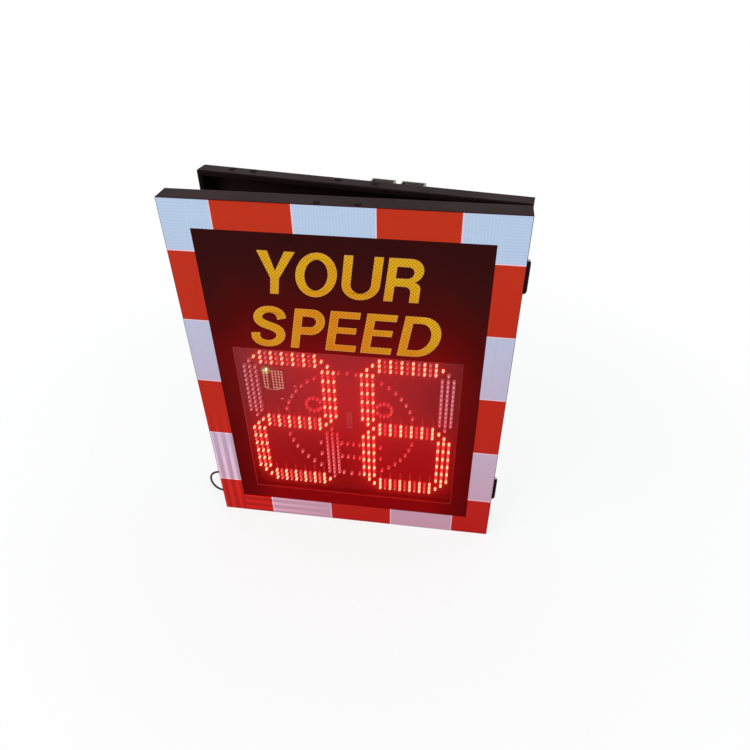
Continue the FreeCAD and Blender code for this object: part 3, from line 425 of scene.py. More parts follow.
def join(name, pieces):
    """Join pieces into one."""
    clear_selection()
    for piece in pieces:
        piece.select_set(True)
    bpy.context.view_layer.objects.active = pieces[0]
    bpy.ops.object.join()
    return named(name)


def repeat(name, model, places):
    """Copies of a model at places in millimetres, joined into one piece; the model itself goes."""
    copies = []
    for place in places:
        copy = bpy.data.objects.new(name, model.data.copy())
        bpy.context.scene.collection.objects.link(copy)
        copy.location = [number * MM for number in place]
        copies.append(copy)
    bpy.data.objects.remove(model, do_unlink=True)
    piece = join(name, copies)
    bpy.ops.object.transform_apply()
    return piece


def seat(piece, body, finish, smooth=35.0):
    """Swing a door piece to where the door stands, put its place into its mesh, and finish it."""
    only(piece)
    if body == "door":
        piece.matrix_world = DOOR_SWING @ piece.matrix_world
    bpy.ops.object.transform_apply()
    if smooth:
        bpy.ops.object.shade_smooth_by_angle(angle=math.radians(smooth))
    piece.data.materials.clear()
    piece.data.materials.append(finish)
    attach(piece, body)
    return piece


def dress(finish, *names):
    """Give CAD nodes a finish in place of their plain one."""
    for name in names:
        node = frame["nodes"][name]
        node.data.materials.clear()
        node.data.materials.append(finish)


def add(tree, kind, inputs=None, **settings):
    """Add a shader node with its settings; an input given a socket, or a node for its first output, is
    linked to it."""
    node = tree.nodes.new("ShaderNode" + kind)
    for name, setting in settings.items():
        setattr(node, name, setting)
    for name, entry in (inputs or {}).items():
        if isinstance(entry, bpy.types.Node):
            entry = next(output for output in entry.outputs if output.enabled)
        if isinstance(entry, bpy.types.NodeSocket):
            tree.links.new(entry, node.inputs[name])
        else:
            node.inputs[name].default_value = entry
    return node


def blank(name):
    """A new material with an empty tree."""
    material = bpy.data.materials.new(name)
    material.use_nodes = True
    material.node_tree.nodes.clear()
    return material, material.node_tree


def place_on(tree, on_door):
    """Object coordinates, turned back to the shut door where the piece rides on it."""
    place = add(tree, "TexCoord").outputs["Object"]
    if on_door:
        place = add(tree, "Mapping", {"Vector": place, "Location": DOOR_SWING.to_translation(),
                                      "Rotation": (0, 0, AJAR)}, vector_type="TEXTURE")
    return place


def show(tree, shader):
    add(tree, "OutputMaterial", {"Surface": shader})


def steps(node, stops):
    """Set the stops of a colour ramp."""
    elements = node.color_ramp.elements
    while len(elements) > 1:
        elements.remove(elements[-1])
    elements[0].position, elements[0].color = stops[0]
    for position, colour in stops[1:]:
        elements.new(position).color = colour
    return node


def seen_rays(tree):
    """1 for the rays that see the background: from the camera, off gloss and through glass."""
    rays = add(tree, "LightPath").outputs
    seen = add(tree, "Math", {0: rays["Is Camera Ray"], 1: rays["Is Glossy Ray"]}, operation="MAXIMUM")
    return add(tree, "Math", {0: seen, 1: rays["Is Transmission Ray"]}, operation="MAXIMUM")


def grained(name, dark, light, grain, roughness, metallic=0.0, on_door=False, stretch=(1, 1, 1), bump=0.1,
            specular=0.5):
    """A surface whose colour, gloss and relief follow a grain of a given size in millimetres."""
    material, tree = blank(name)
    place = add(tree, "Mapping", {"Vector": place_on(tree, on_door), "Scale": stretch})
    noise = add(tree, "TexNoise", {"Vector": place, "Scale": 1 / (grain * MM), "Detail": 4.0,
                                   "Roughness": 0.6})
    colour = steps(add(tree, "ValToRGB", {"Fac": noise}), [(NOISE_LOW, dark), (NOISE_HIGH, light)])
    gloss = add(tree, "MapRange", {"Value": noise, "From Min": NOISE_LOW, "From Max": NOISE_HIGH,
                                   "To Min": roughness - 0.06, "To Max": roughness + 0.06})
    relief = add(tree, "Bump", {"Height": noise, "Strength": bump, "Distance": grain * 0.25 * MM})
    show(tree, add(tree, "BsdfPrincipled", {
        "Base Color": colour, "Roughness": gloss, "Normal": relief, "Metallic": metallic,
        "Specular IOR Level": specular}))
    return material


def plain(name):
    """A finish from the table of plain ones."""
    dark, light, grain, roughness, other = FINISHES[name]
    return grained(name, tone(dark), tone(light), grain, roughness, **other)


def powder_coat(on_door):
    """Polyester powder coat, baked on sheet steel: charcoal, half gloss, with an orange-peel skin."""
    base = rgba(colours().case)
    material, tree = blank("powder coated steel " + ("door" if on_door else "case"))
    place = place_on(tree, on_door)
    # The real peel is about 1 mm across; it is drawn 4 mm across so that it shows.
    peel = add(tree, "TexNoise", {"Vector": place, "Scale": 1 / (4 * MM), "Detail": 3.0})
    # Handling leaves soft cloudy patches about 120 mm across.
    cloud = add(tree, "TexNoise", {"Vector": place, "Scale": 1 / (120 * MM), "Detail": 5.0,
                                   "Roughness": 0.65})
    colour = steps(add(tree, "ValToRGB", {"Fac": cloud}),
                   [(NOISE_LOW, shade(base, 0.8)), (NOISE_HIGH, shade(base, 1.45))])
    gloss = add(tree, "MapRange", {"Value": cloud, "From Min": NOISE_LOW, "From Max": NOISE_HIGH,
                                   "To Min": 0.5, "To Max": 0.38})
    # Bends and cut edges are a little rounded under the coat; a painted highlight lies paler along them in
    # patches about 35 mm long.
    edge = add(tree, "Bevel", {"Radius": 1.4 * MM}, samples=6)
    flat = add(tree, "NewGeometry").outputs["Normal"]
    bend = add(tree, "VectorMath", {0: edge, 1: flat}, operation="DOT_PRODUCT")
    bend = add(tree, "MapRange", {"Value": bend, "From Min": 0.99, "From Max": 0.8, "To Max": 0.75})
    # Patches about 35 mm long in which the painted edge highlight shows
    highlighted = add(tree, "TexNoise", {"Vector": place, "Scale": 1 / (35 * MM), "Detail": 4.0})
    highlighted = add(tree, "MapRange", {"Value": highlighted, "From Min": 0.35, "From Max": 0.65, "To Min": 0.3})
    painted_edge_highlight = add(tree, "Math", {0: bend, 1: highlighted}, operation="MULTIPLY")
    colour = add(tree, "Mix", {"Factor": painted_edge_highlight, "A": colour, "B": rgba(colours().painted_edge_highlight)}, data_type="RGBA")
    relief = add(tree, "Bump", {"Height": peel, "Strength": 0.2, "Distance": 0.4 * MM, "Normal": edge})
    show(tree, add(tree, "BsdfPrincipled", {
        "Base Color": colour, "Roughness": gloss, "Normal": relief, "Specular IOR Level": 0.022}))
    return material


def panel_film():
    """Black vinyl film on the panel, smooth, glowing dark red close round the lit display."""
    material, tree = blank("black vinyl film")
    place = place_on(tree, True)
    axes = add(tree, "SeparateXYZ", {"Vector": place})
    # How far a point lies outside the part of the display that glows
    outside = []
    for axis, (middle, half) in GLOW_AREA.items():
        reach = axes.outputs[axis]
        for operation, number in (("SUBTRACT", middle * MM), ("ABSOLUTE", 0.0), ("SUBTRACT", half * MM),
                                  ("MAXIMUM", 0.0)):
            reach = add(tree, "Math", {0: reach, 1: number}, operation=operation)
        outside.append(reach)
    across = add(tree, "Math", {0: outside[0], 1: GLOW_ACROSS}, operation="MULTIPLY")
    reach = add(tree, "CombineXYZ", {"X": across, "Y": outside[1]})
    reach = add(tree, "VectorMath", {0: reach}, operation="LENGTH")
    fall = add(tree, "MapRange", {"Value": reach, "From Max": GLOW_REACH * MM})
    # Soft patches about 90 mm across make the glow uneven.
    patch = add(tree, "TexNoise", {"Vector": place, "Scale": 1 / (90 * MM), "Detail": 2.0})
    patch = add(tree, "Math", {0: patch, 1: 0.16, 2: -0.08}, operation="MULTIPLY_ADD")
    fall = add(tree, "Math", {0: fall, 1: patch}, operation="ADD", use_clamp=True)
    near = rgba(colours().panel_near)
    far = rgba(colours().panel_far)
    colour = steps(add(tree, "ValToRGB", {"Fac": fall}), [
        (0.0, near), (0.16, shade(near, 0.95)), (0.31, shade(near, 0.62)), (0.53, shade(near, 0.32)),
        (0.78, (far[0] * 1.5, far[1], far[2], 1.0)), (1.0, far)])
    # A painted daylight sheen makes the upper part of the film a little paler.
    height = add(tree, "MapRange", {"Value": axes.outputs["Z"], "From Min": 0.15, "From Max": 0.4,
                                    "To Max": 0.09})
    colour = add(tree, "Mix", {"Factor": height, "A": colour, "B": tone("#4A2C26")}, data_type="RGBA")
    edge = add(tree, "Bevel", {"Radius": 0.8 * MM}, samples=4)
    show(tree, add(tree, "BsdfPrincipled", {
        "Base Color": colour, "Roughness": 0.42, "Specular IOR Level": 0.014, "Normal": edge}))
    return material


def tape_film(side):
    """Prismatic reflective tape: clear film over moulded cells, in red and white blocks with pale seams."""
    along, first, bands = TAPES[side]
    material, tree = blank("prismatic reflective tape " + side)
    place = place_on(tree, True)
    axes = add(tree, "SeparateXYZ", {"Vector": place})
    block = sizes().tape_block
    run = add(tree, "Math", {0: axes.outputs[along], 1: first * MM}, operation="SUBTRACT")
    is_white = run
    for operation, number in (("DIVIDE", 2 * block), ("FRACT", 0.0), ("GREATER_THAN", 0.5)):
        is_white = add(tree, "Math", {0: is_white, 1: number}, operation=operation)
    # A pale seam about 2 mm wide runs across the tape where the colours meet.
    seam = run
    for operation, number in (("ADD", block / 2), ("DIVIDE", block), ("FRACT", 0.0), ("SUBTRACT", 0.5),
                              ("ABSOLUTE", 0.0), ("LESS_THAN", 1.1 * MM / block)):
        seam = add(tree, "Math", {0: seam, 1: number}, operation=operation)
    # The moulded cells are too fine to show, and are drawn coarser.
    turned = add(tree, "Mapping", {"Vector": place, "Rotation": (0, math.radians(45), 0), "Scale": (1, 0, 1)})
    cells = add(tree, "TexVoronoi", {"Vector": turned, "Scale": 1 / sizes().tape_cell, "Randomness": 0.0},
                feature="DISTANCE_TO_EDGE")
    cell = add(tree, "MapRange", {"Value": cells, "From Max": 0.16, "To Min": 0.9})
    # The film's drawing direction leaves fine lengthwise streaks about 3 mm wide.
    drawn, fine = 1 / (400 * MM), 1 / (3 * MM)
    stretch = (drawn, 0, fine) if along == "X" else (fine, 0, drawn)
    streak = add(tree, "Mapping", {"Vector": place, "Scale": stretch})
    streak = add(tree, "TexNoise", {"Vector": streak, "Scale": 1.0, "Detail": 3.0})
    streak = add(tree, "MapRange", {"Value": streak, "From Min": NOISE_LOW, "From Max": NOISE_HIGH,
                                    "To Min": 0.97, "To Max": 1.03})
    # Fine ribs run across the tape.
    rib = add(tree, "Math", {0: run, 1: 2 * math.pi / sizes().tape_rib}, operation="MULTIPLY")
    rib = add(tree, "Math", {0: rib}, operation="SINE")
    rib = add(tree, "Math", {0: rib, 1: 0.035, 2: 1.0}, operation="MULTIPLY_ADD")
    weights = [cell, streak, rib]
    if bands:
        middle, strong, faint = [number * MM for number in bands]
        cross = "Z" if along == "X" else "X"
        band = add(tree, "Math", {0: axes.outputs[cross], 1: middle}, operation="SUBTRACT")
        turns = 2 * math.pi / sizes().tape_band
        band = add(tree, "Math", {0: band, 1: turns}, operation="MULTIPLY")
        band = add(tree, "Math", {0: band}, operation="COSINE")
        band = add(tree, "MapRange", {"Value": band, "From Min": -0.25, "From Max": 0.5, "To Min": -0.1,
                                      "To Max": 0.45}, interpolation_type="SMOOTHSTEP")
        share = add(tree, "MapRange", {"Value": axes.outputs[along], "From Min": strong, "From Max": faint,
                                       "To Min": 1.0, "To Max": 0.0})
        weights.append(add(tree, "Math", {0: band, 1: share, 2: 1.0}, operation="MULTIPLY_ADD"))
    weight = weights[0]
    for other in weights[1:]:
        weight = add(tree, "Math", {0: weight, 1: other}, operation="MULTIPLY")
    # Daylight low on the film is warmed by the display's red light.
    height = add(tree, "MapRange", {"Value": axes.outputs["Z"], "From Max": 0.76})
    red, white = [add(tree, "Mix", {"Factor": height, "A": rgba(low), "B": rgba(high)}, data_type="RGBA")
                  for low, high in ((colours().red_low, colours().red_high),
                                    (colours().white_low, colours().white_high))]
    film = add(tree, "Mix", {"Factor": is_white, "A": red, "B": white}, data_type="RGBA")
    film = add(tree, "Mix", {"Factor": seam, "A": film, "B": tone("#E6C9D2")}, data_type="RGBA")
    colour = add(tree, "VectorMath", {0: film, "Scale": weight}, operation="SCALE")
    relief = add(tree, "Bump", {"Height": cells, "Strength": 0.08, "Distance": 0.3 * MM})
    show(tree, add(tree, "BsdfPrincipled", {
        "Base Color": colour, "Roughness": 0.34, "Specular IOR Level": 0.1, "Normal": relief}))
    return material


def legend_film():
    """Yellow honeycomb reflective sheeting, cut to letters: small sealed cells under a clear face."""
    material, tree = blank("honeycomb reflective sheeting")
    place = place_on(tree, True)
    axes = add(tree, "SeparateXYZ", {"Vector": place})
    # The display's red glow is painted on the film near its middle, as a warmer tone.
    across = add(tree, "Math", {0: axes.outputs["X"], 1: DOOR_MID * MM}, operation="SUBTRACT")
    above = add(tree, "Math", {0: axes.outputs["Z"], 1: LEGEND_GLOW_Z * MM}, operation="SUBTRACT")
    reach = add(tree, "CombineXYZ", {"X": across, "Y": above})
    reach = add(tree, "VectorMath", {0: reach}, operation="LENGTH")
    fall = add(tree, "MapRange", {"Value": reach, "From Min": 0.06, "From Max": 0.25})
    # The painted glow is uneven, in soft patches about 70 mm across.
    patch = add(tree, "TexNoise", {"Vector": place, "Scale": 1 / (70 * MM), "Detail": 1.0})
    patch = add(tree, "Math", {0: patch, 1: 1.6, 2: -0.8}, operation="MULTIPLY_ADD")
    fall = add(tree, "Math", {0: fall, 1: patch}, operation="ADD", use_clamp=True)
    # The real cells are about 3 mm across; they are drawn larger so that they show.
    turned = add(tree, "Mapping", {"Vector": place, "Rotation": (0, math.radians(45), 0), "Scale": (1, 0, 1)})
    cells = add(tree, "TexVoronoi", {"Vector": turned, "Randomness": 0.0, "Scale": 1 / sizes().legend_cell})
    dot = add(tree, "MapRange", {"Value": cells, "From Min": 0.2, "From Max": 0.44, "To Min": 0.52,
                                 "To Max": 1.06})
    film = add(tree, "Mix", {"Factor": fall, "A": rgba(colours().legend_painted_glow),
                             "B": rgba(colours().legend_outer)}, data_type="RGBA")
    colour = add(tree, "VectorMath", {0: film, "Scale": dot}, operation="SCALE")
    # The cells are sealed shut along the cut, which is pale.
    rim = add(tree, "Attribute", attribute_name="rim").outputs["Fac"]
    colour = add(tree, "Mix", {"Factor": rim, "A": colour, "B": rgba(colours().legend_rim)}, data_type="RGBA")
    show(tree, add(tree, "BsdfPrincipled", {
        "Base Color": colour, "Roughness": 0.4, "Specular IOR Level": 0.1}))
    return material


def clear_sheet():
    """Polished acrylic sheet: fine scratches scatter daylight and the lamps' light, and its edge glows."""
    material, tree = blank("polished acrylic sheet")
    place = place_on(tree, True)
    axes = add(tree, "SeparateXYZ", {"Vector": place})
    # Daylight falls on the sheet from above and from the left, in clouds about 150 mm across.
    height = add(tree, "MapRange", {"Value": axes.outputs["Z"], "From Min": 0.16, "From Max": 0.45,
                                    "To Min": 0.008, "To Max": 0.14}, interpolation_type="SMOOTHSTEP")
    cloud = add(tree, "TexNoise", {"Vector": place, "Scale": 1 / (150 * MM), "Detail": 3.0})
    cloud = add(tree, "Math", {0: cloud, 1: 0.6, 2: 0.7}, operation="MULTIPLY_ADD")
    side = add(tree, "MapRange", {"Value": axes.outputs["X"], "From Min": WINDOW_LOW[0] * MM,
                                  "From Max": WINDOW_HIGH[0] * MM, "To Min": 1.15, "To Max": 0.65})
    veil = add(tree, "Math", {0: height, 1: cloud}, operation="MULTIPLY")
    veil = add(tree, "Math", {0: side, 1: veil}, operation="MULTIPLY")
    # Single scratches are too fine to show; they dull the sheet in patches about 9 mm across.
    scratch = add(tree, "TexNoise", {"Vector": place, "Scale": 1 / (9 * MM), "Detail": 6.0})
    gloss = add(tree, "MapRange", {"Value": scratch, "To Min": 0.08, "To Max": 0.2})
    # Each of the two faces lets only its veil's share of the light out, so the light is that much stronger.
    scatter = add(tree, "Attribute", attribute_name="scatter").outputs["Color"]
    strength = add(tree, "Math", {0: 0.5, 1: veil}, operation="DIVIDE")
    show(tree, add(tree, "BsdfPrincipled", {
        "Base Color": rgba(colours().haze), "Alpha": veil, "Roughness": gloss, "IOR": 1.49,
        "Specular IOR Level": 0.1, "Emission Color": scatter, "Emission Strength": strength}))
    return material


def lit_epoxy():
    """Red lamp at work: clear epoxy that glares at its tip and shines red at its foot."""
    material, tree = blank("lit red epoxy lens")
    axes = add(tree, "SeparateXYZ", {"Vector": place_on(tree, True)})
    foot = BOARD_FACE * MM
    depth = add(tree, "MapRange", {"Value": axes.outputs["Y"], "From Min": foot - sizes().lens_length,
                                   "From Max": foot})
    hot = rgba(colours().lamp_hot)
    glow = rgba(colours().lamp_glow)
    colour = steps(add(tree, "ValToRGB", {"Fac": depth}),
                   [(0.0, hot), (0.8, hot), (0.88, shade(glow, 0.25)), (1.0, shade(glow, 0.1))])
    show(tree, add(tree, "BsdfPrincipled", {
        "Base Color": tone("#FF3A1A"), "Roughness": 0.2, "Emission Color": colour,
        "Emission Strength": 1.35}))
    return material


def clear_epoxy():
    """Unlit lamp: clear epoxy, pale in daylight and deep red where its neighbours' light bathes it."""
    material, tree = blank("clear epoxy lens")
    scatter = add(tree, "Attribute", attribute_name="scatter").outputs
    bathed = add(tree, "MapRange", {"Value": scatter["Fac"], "From Min": 0.03, "From Max": 0.085})
    colour = add(tree, "Mix", {"Factor": bathed, "A": rgba(colours().lamp_dark),
                               "B": rgba(colours().lamp_bathed)}, data_type="RGBA")
    # The dark cup that holds the die shows through the foot.
    cup = add(tree, "Attribute", attribute_name="cup").outputs["Fac"]
    colour = add(tree, "Mix", {"Factor": cup, "A": colour, "B": rgba(colours().lamp_cup)}, data_type="RGBA")
    # Lamps far from the lit ones pass on more of the little light that reaches them.
    glow = add(tree, "MapRange", {"Value": scatter["Fac"], "From Min": 0.03, "From Max": 0.11, "To Min": 1.4,
                                  "To Max": 0.3})
    show(tree, add(tree, "BsdfPrincipled", {
        "Base Color": colour, "Roughness": 0.18, "IOR": 1.53, "Emission Color": scatter["Color"],
        "Emission Strength": glow}))
    return material


def board_mask(name, colour, pad):
    """Glass-epoxy board under solder mask, with faint copper runs below it."""
    material, tree = blank(name)
    place = place_on(tree, True)
    # Copper runs about 2 mm wide, in rows 12 mm high
    runs = add(tree, "TexBrick", {
        "Vector": place, "Color1": (1, 1, 1, 1), "Color2": (1, 1, 1, 1), "Mortar": (0, 0, 0, 1), "Scale": 1.0,
        "Mortar Size": 0.9 * MM, "Brick Width": 46.8 * MM, "Row Height": 12 * MM}).outputs["Fac"]
    # The mask lies a little unevenly, in patches about 40 mm across.
    noise = add(tree, "TexNoise", {"Vector": place, "Scale": 1 / (40 * MM), "Detail": 4.0})
    tint = steps(add(tree, "ValToRGB", {"Fac": noise}),
                 [(NOISE_LOW, shade(colour, 0.75)), (NOISE_HIGH, shade(colour, 1.25))])
    mixed = add(tree, "Mix", {"Factor": runs, "A": tint, "B": pad}, data_type="RGBA")
    show(tree, add(tree, "BsdfPrincipled", {
        "Base Color": mixed, "Roughness": 0.5, "Specular IOR Level": 0.015}))
    return material


def glowing(name, colour, strength):
    """A small lamp that is lit all over."""
    material, tree = blank(name)
    show(tree, add(tree, "BsdfPrincipled", {
        "Base Color": colour, "Roughness": 0.25, "Emission Color": colour, "Emission Strength": strength}))
    return material


def bathe(piece, lit, rim=None):
    """Write on a piece of the shut door the colour of the lamps' light that reaches each of its points."""
    points = np.array([(vertex.co.x / MM, vertex.co.z / MM) for vertex in piece.data.vertices])
    lamps = np.array([(DOOR_MID + x, DIGIT_Z + z) for x, z in lit])
    away = np.hypot(points[:, None, 0] - lamps[None, :, 0], points[:, None, 1] - lamps[None, :, 1])
    halo = np.exp(-(away / HALO_REACH) ** 2).sum(axis=1)
    wash = np.exp(-away / WASH_REACH).sum(axis=1)
    from_status = np.hypot(points[:, 0] - STATUS_X, points[:, 1] - STATUS_Z)
    green = np.exp(-(from_status / STATUS_REACH) ** 2)
    shares = ((HALO_SHARE * halo, colours().halo), (WASH_SHARE * wash, colours().spill),
              (STATUS_SHARE * green, colours().spill_green))
    light = sum(share[:, None] * np.array(colour) for share, colour in shares)
    if rim:
        low, high = rim
        inside = np.minimum(np.minimum(points[:, 0] - low.x, high.x - points[:, 0]),
                            np.minimum(points[:, 1] - low.z, high.z - points[:, 1]))
        light[inside < EDGE_WIDTH] = light[inside < EDGE_WIDTH] * EDGE_GAIN + EDGE_GLOW
    scatter = piece.data.attributes.new("scatter", "FLOAT_COLOR", "POINT")
    scatter.data.foreach_set("color", np.column_stack((light, np.ones(len(light)))).ravel())


def window_sheet(lit):
    """The window: a sheet with a broken edge, in cells small enough to carry the light round each lamp."""
    low, high = Vector(WINDOW_LOW), Vector(WINDOW_HIGH)
    middle = ((low.x + high.x) / 2 * MM, high.y * MM, (low.z + high.z) / 2 * MM)
    clear_selection()
    bpy.ops.mesh.primitive_grid_add(x_subdivisions=WINDOW_CELLS[0], y_subdivisions=WINDOW_CELLS[1], size=1.0,
                                    location=middle, rotation=(math.radians(90), 0, 0))
    piece = named("window_sheet")
    piece.scale = ((high.x - low.x) * MM, (high.z - low.z) * MM, 1.0)
    bpy.ops.object.transform_apply()
    edit_faces(piece, lambda face: True)
    bpy.ops.mesh.extrude_region_move(TRANSFORM_OT_translate={"value": (0, (low.y - high.y) * MM, 0)})
    bpy.ops.mesh.select_all(action="SELECT")
    bpy.ops.mesh.normals_make_consistent(inside=False)
    leave_edit()
    soften(piece, 0.6, 1, angle=60.0)
    bathe(piece, lit, (low, high))
    return piece


def arc(middle_x, middle_z, radius_x, radius_z, start, end, count=14):
    """Points along part of an ellipse, from one angle to another in degrees."""
    angles = [math.radians(start + (end - start) * index / count) for index in range(count + 1)]
    return [(middle_x + radius_x * math.cos(angle), middle_z + radius_z * math.sin(angle))
            for angle in angles]


def ribbon(line, widths):
    """The outline of a stroke that follows a smooth line through points, with a half width at each."""
    smooth = []
    for index in range(len(line) - 1):
        before = line[max(index - 1, 0)]
        after = line[min(index + 2, len(line) - 1)]
        for step in range(5):
            part = step / 5
            square, cube = part ** 2, part ** 3
            weights = (2 * cube - 3 * square + 1, cube - 2 * square + part, 3 * square - 2 * cube,
                       cube - square)
            spot = []
            for axis in (0, 1):
                low, high = line[index][axis], line[index + 1][axis]
                terms = (low, (high - before[axis]) / 2, high, (after[axis] - low) / 2)
                spot.append(sum(weight * term for weight, term in zip(weights, terms)))
            smooth.append((*spot, widths[index] + (widths[index + 1] - widths[index]) * part))
    smooth.append((*line[-1], widths[-1]))
    left, right = [], []
    for index, (x, z, width) in enumerate(smooth):
        ahead = smooth[min(index + 1, len(smooth) - 1)]
        behind = smooth[max(index - 1, 0)]
        way = Vector((ahead[0] - behind[0], ahead[1] - behind[1])).normalized()
        left.append((x - way.y * width, z + way.x * width))
        right.append((x + way.y * width, z - way.x * width))
    return left + right[::-1]


# Outlines of plain bold capitals, in millimetres from the lower left corner
LETTERS = {
    "Y": [[(0, 88), (20.5, 88), (36.5, 48.5), (53, 88), (73, 88), (44.8, 33), (44.8, 0), (28, 0), (28, 33)]],
    "O": [arc(39.6, 44, 39.6, 45.6, 0, 360, 40)[:-1], arc(39.6, 44, 22.2, 31.4, 0, 360, 40)[:-1]],
    "U": [[(0, 88)] + arc(36.4, 31, 36.4, 32.5, 180, 360, 20) + [(72.8, 88), (55.8, 88)]
          + arc(36.4, 31, 19.4, 19, 360, 180, 20) + [(17, 88)]],
    "R": [[(0, 0), (0, 88)] + arc(41, 63.5, 25.5, 24.5, 90, -62) + arc(53, 27, 12.5, 14, 68, 0, 8)
          + [(66.5, 0), (48.5, 0)] + arc(36, 20, 12, 12, 0, 90, 8) + [(17, 32), (17, 0)],
          [(17, 48.5), (17, 71.5)] + arc(38, 60, 11.5, 11.5, 90, -90)],
    "S": [ribbon([(60.5, 65), (57, 75), (48.5, 82), (35.5, 85.2), (21, 82), (12.6, 72.5), (13, 61.5),
                  (21.5, 53.5), (36, 48), (51, 42.5), (60.5, 33), (61, 20.5), (51.5, 9.8), (36.5, 6),
                  (21, 9), (11.5, 18.5), (9.4, 30)],
                 [9.2, 8.8, 7.8, 7.4, 8, 9, 9.2, 9, 8.8, 9, 9.2, 9, 8, 7.4, 7.8, 8.8, 9.2])],
    "P": [[(0, 0), (0, 91)] + arc(36, 62, 27, 29, 90, -90) + [(17, 33), (17, 0)],
          [(17, 50), (17, 74.5)] + arc(33.5, 62.2, 12, 11.7, 90, -90)],
    "E": [[(0, 0), (0, 91), (59, 91), (59, 76), (17.4, 76), (17.4, 55.5), (56, 55.5), (56, 41.5),
           (17.4, 41.5), (17.4, 15), (61, 15), (61, 0)]],
    "D": [[(0, 0), (0, 91)] + arc(36, 45.5, 41, 45.5, 90, -90, 20),
          [(17.4, 15), (17.4, 76)] + arc(34, 45.5, 24, 30.5, 90, -90, 20)],
}

# Each row of the legend: its foot above the base, its lean, and the letters with their left edges
LEGEND = {
    "legend_upper": (627.5, 0.135, (("Y", -169.8), ("O", -94.0), ("U", -4.8), ("R", 77.8))),
    "legend_lower": (507.5, 0.187, (("S", -197.6), ("P", -112.7), ("E", -41.2), ("E", 30.6), ("D", 104.6))),
}


def legend_row(name):
    """One row of film letters, filled from flat outlines and laid on the panel."""
    foot, lean, letters = LEGEND[name]
    curve = bpy.data.curves.new(name, "CURVE")
    curve.dimensions = "2D"
    curve.fill_mode = "BOTH"
    curve.extrude = sizes().film / 2
    for sign, left in letters:
        for loop in LETTERS[sign]:
            spline = curve.splines.new("POLY")
            spline.points.add(len(loop) - 1)
            for point, (x, z) in zip(spline.points, loop):
                point.co = ((DOOR_MID + left + x + lean * z) * MM, (foot + z) * MM, 0.0, 1.0)
            spline.use_cyclic_u = True
    piece = bpy.data.objects.new(name, curve)
    bpy.context.scene.collection.objects.link(piece)
    piece.rotation_euler = (math.radians(90), 0, 0)
    piece.location = (0, DOOR_FRONT * MM - sizes().film / 2, 0)
    only(piece)
    bpy.ops.object.convert(target="MESH")
    bpy.ops.object.transform_apply()
    edit_faces(piece, lambda face: face.normal.y < -0.9)
    bpy.ops.mesh.inset(thickness=sizes().legend_rim, use_boundary=True, use_even_offset=True)
    leave_edit()
    rim = [face.normal.y < -0.9 and not face.select for face in piece.data.polygons]
    piece.data.attributes.new("rim", "FLOAT", "FACE").data.foreach_set("value", rim)
    return piece


def digit_lamps(digit_x, lit):
    """Places of a digit's lit red, dark red and green lamps, from the digits' middle."""
    half, rise, across = SEGMENT_HALF, SEGMENT_RISE, LAMP_ROW
    rows = {"a": 2 * rise, "g": 0.0, "d": -2 * rise}
    columns = {"b": (half, rise), "c": (half, -rise), "e": (-half, -rise), "f": (-half, rise)}
    groups = {"lit": [], "dark": [], "green": []}
    for index in range(LAMPS_ALONG):
        step = (index - (LAMPS_ALONG - 1) / 2) * LAMP_PITCH
        for row in (-across, 0.0, across):
            spots = [(segment, step, level + row) for segment, level in rows.items()]
            spots += [(segment, side + row, level + step) for segment, (side, level) in columns.items()]
            for segment, x, z in spots:
                group = "green" if index % 2 else "lit" if segment in lit else "dark"
                groups[group].append((digit_x + x, z))
    for side in (-1, 1):
        corners = [(segment, side * (half - across), level) for segment, level in rows.items()]
        upper, lower = ("f", "e") if side < 0 else ("b", "c")
        corners += [(upper, side * half, 2 * rise - across), (upper, side * half, across)]
        corners += [(lower, side * half, -across), (lower, side * half, across - 2 * rise)]
        for segment, x, z in corners:
            groups["lit" if segment in lit else "dark"].append((digit_x + x, z))
    return groups


def display_lamps():
    """Places of the lamps of both digits, in the same groups."""
    tens = digit_lamps(-DIGIT_X, TENS_LIT)
    units = digit_lamps(DIGIT_X, UNITS_LIT)
    return {group: tens[group] + units[group] for group in tens}


def face_lamps(taken):
    """Places of the round face sign's lamps that no other lamp, board or connector covers."""
    places = []
    for middle_x, middle_z, radius, count in FACE_RINGS:
        for index in range(count):
            turn = 2 * math.pi * index / count
            places.append((middle_x + radius * math.sin(turn), middle_z + radius * math.cos(turn)))
    for row in (-1, 1):
        level = row * MOUTH_RISE + MOUTH_Z
        places += [(x, level) for x in MOUTH_X]
        places += [(x, level - row * MOUTH_CURL) for x in MOUTH_ENDS]
    free = []
    for x, z in places:
        covered = any(abs(x - middle_x) < half_x and abs(z - middle_z) < half_z
                      for middle_x, middle_z, half_x, half_z in COVERS)
        crowded = any(math.hypot(x - near_x, z - near_z) < LAMP_ROOM for near_x, near_z in taken)
        if not covered and not crowded:
            free.append((x, z))
    return free


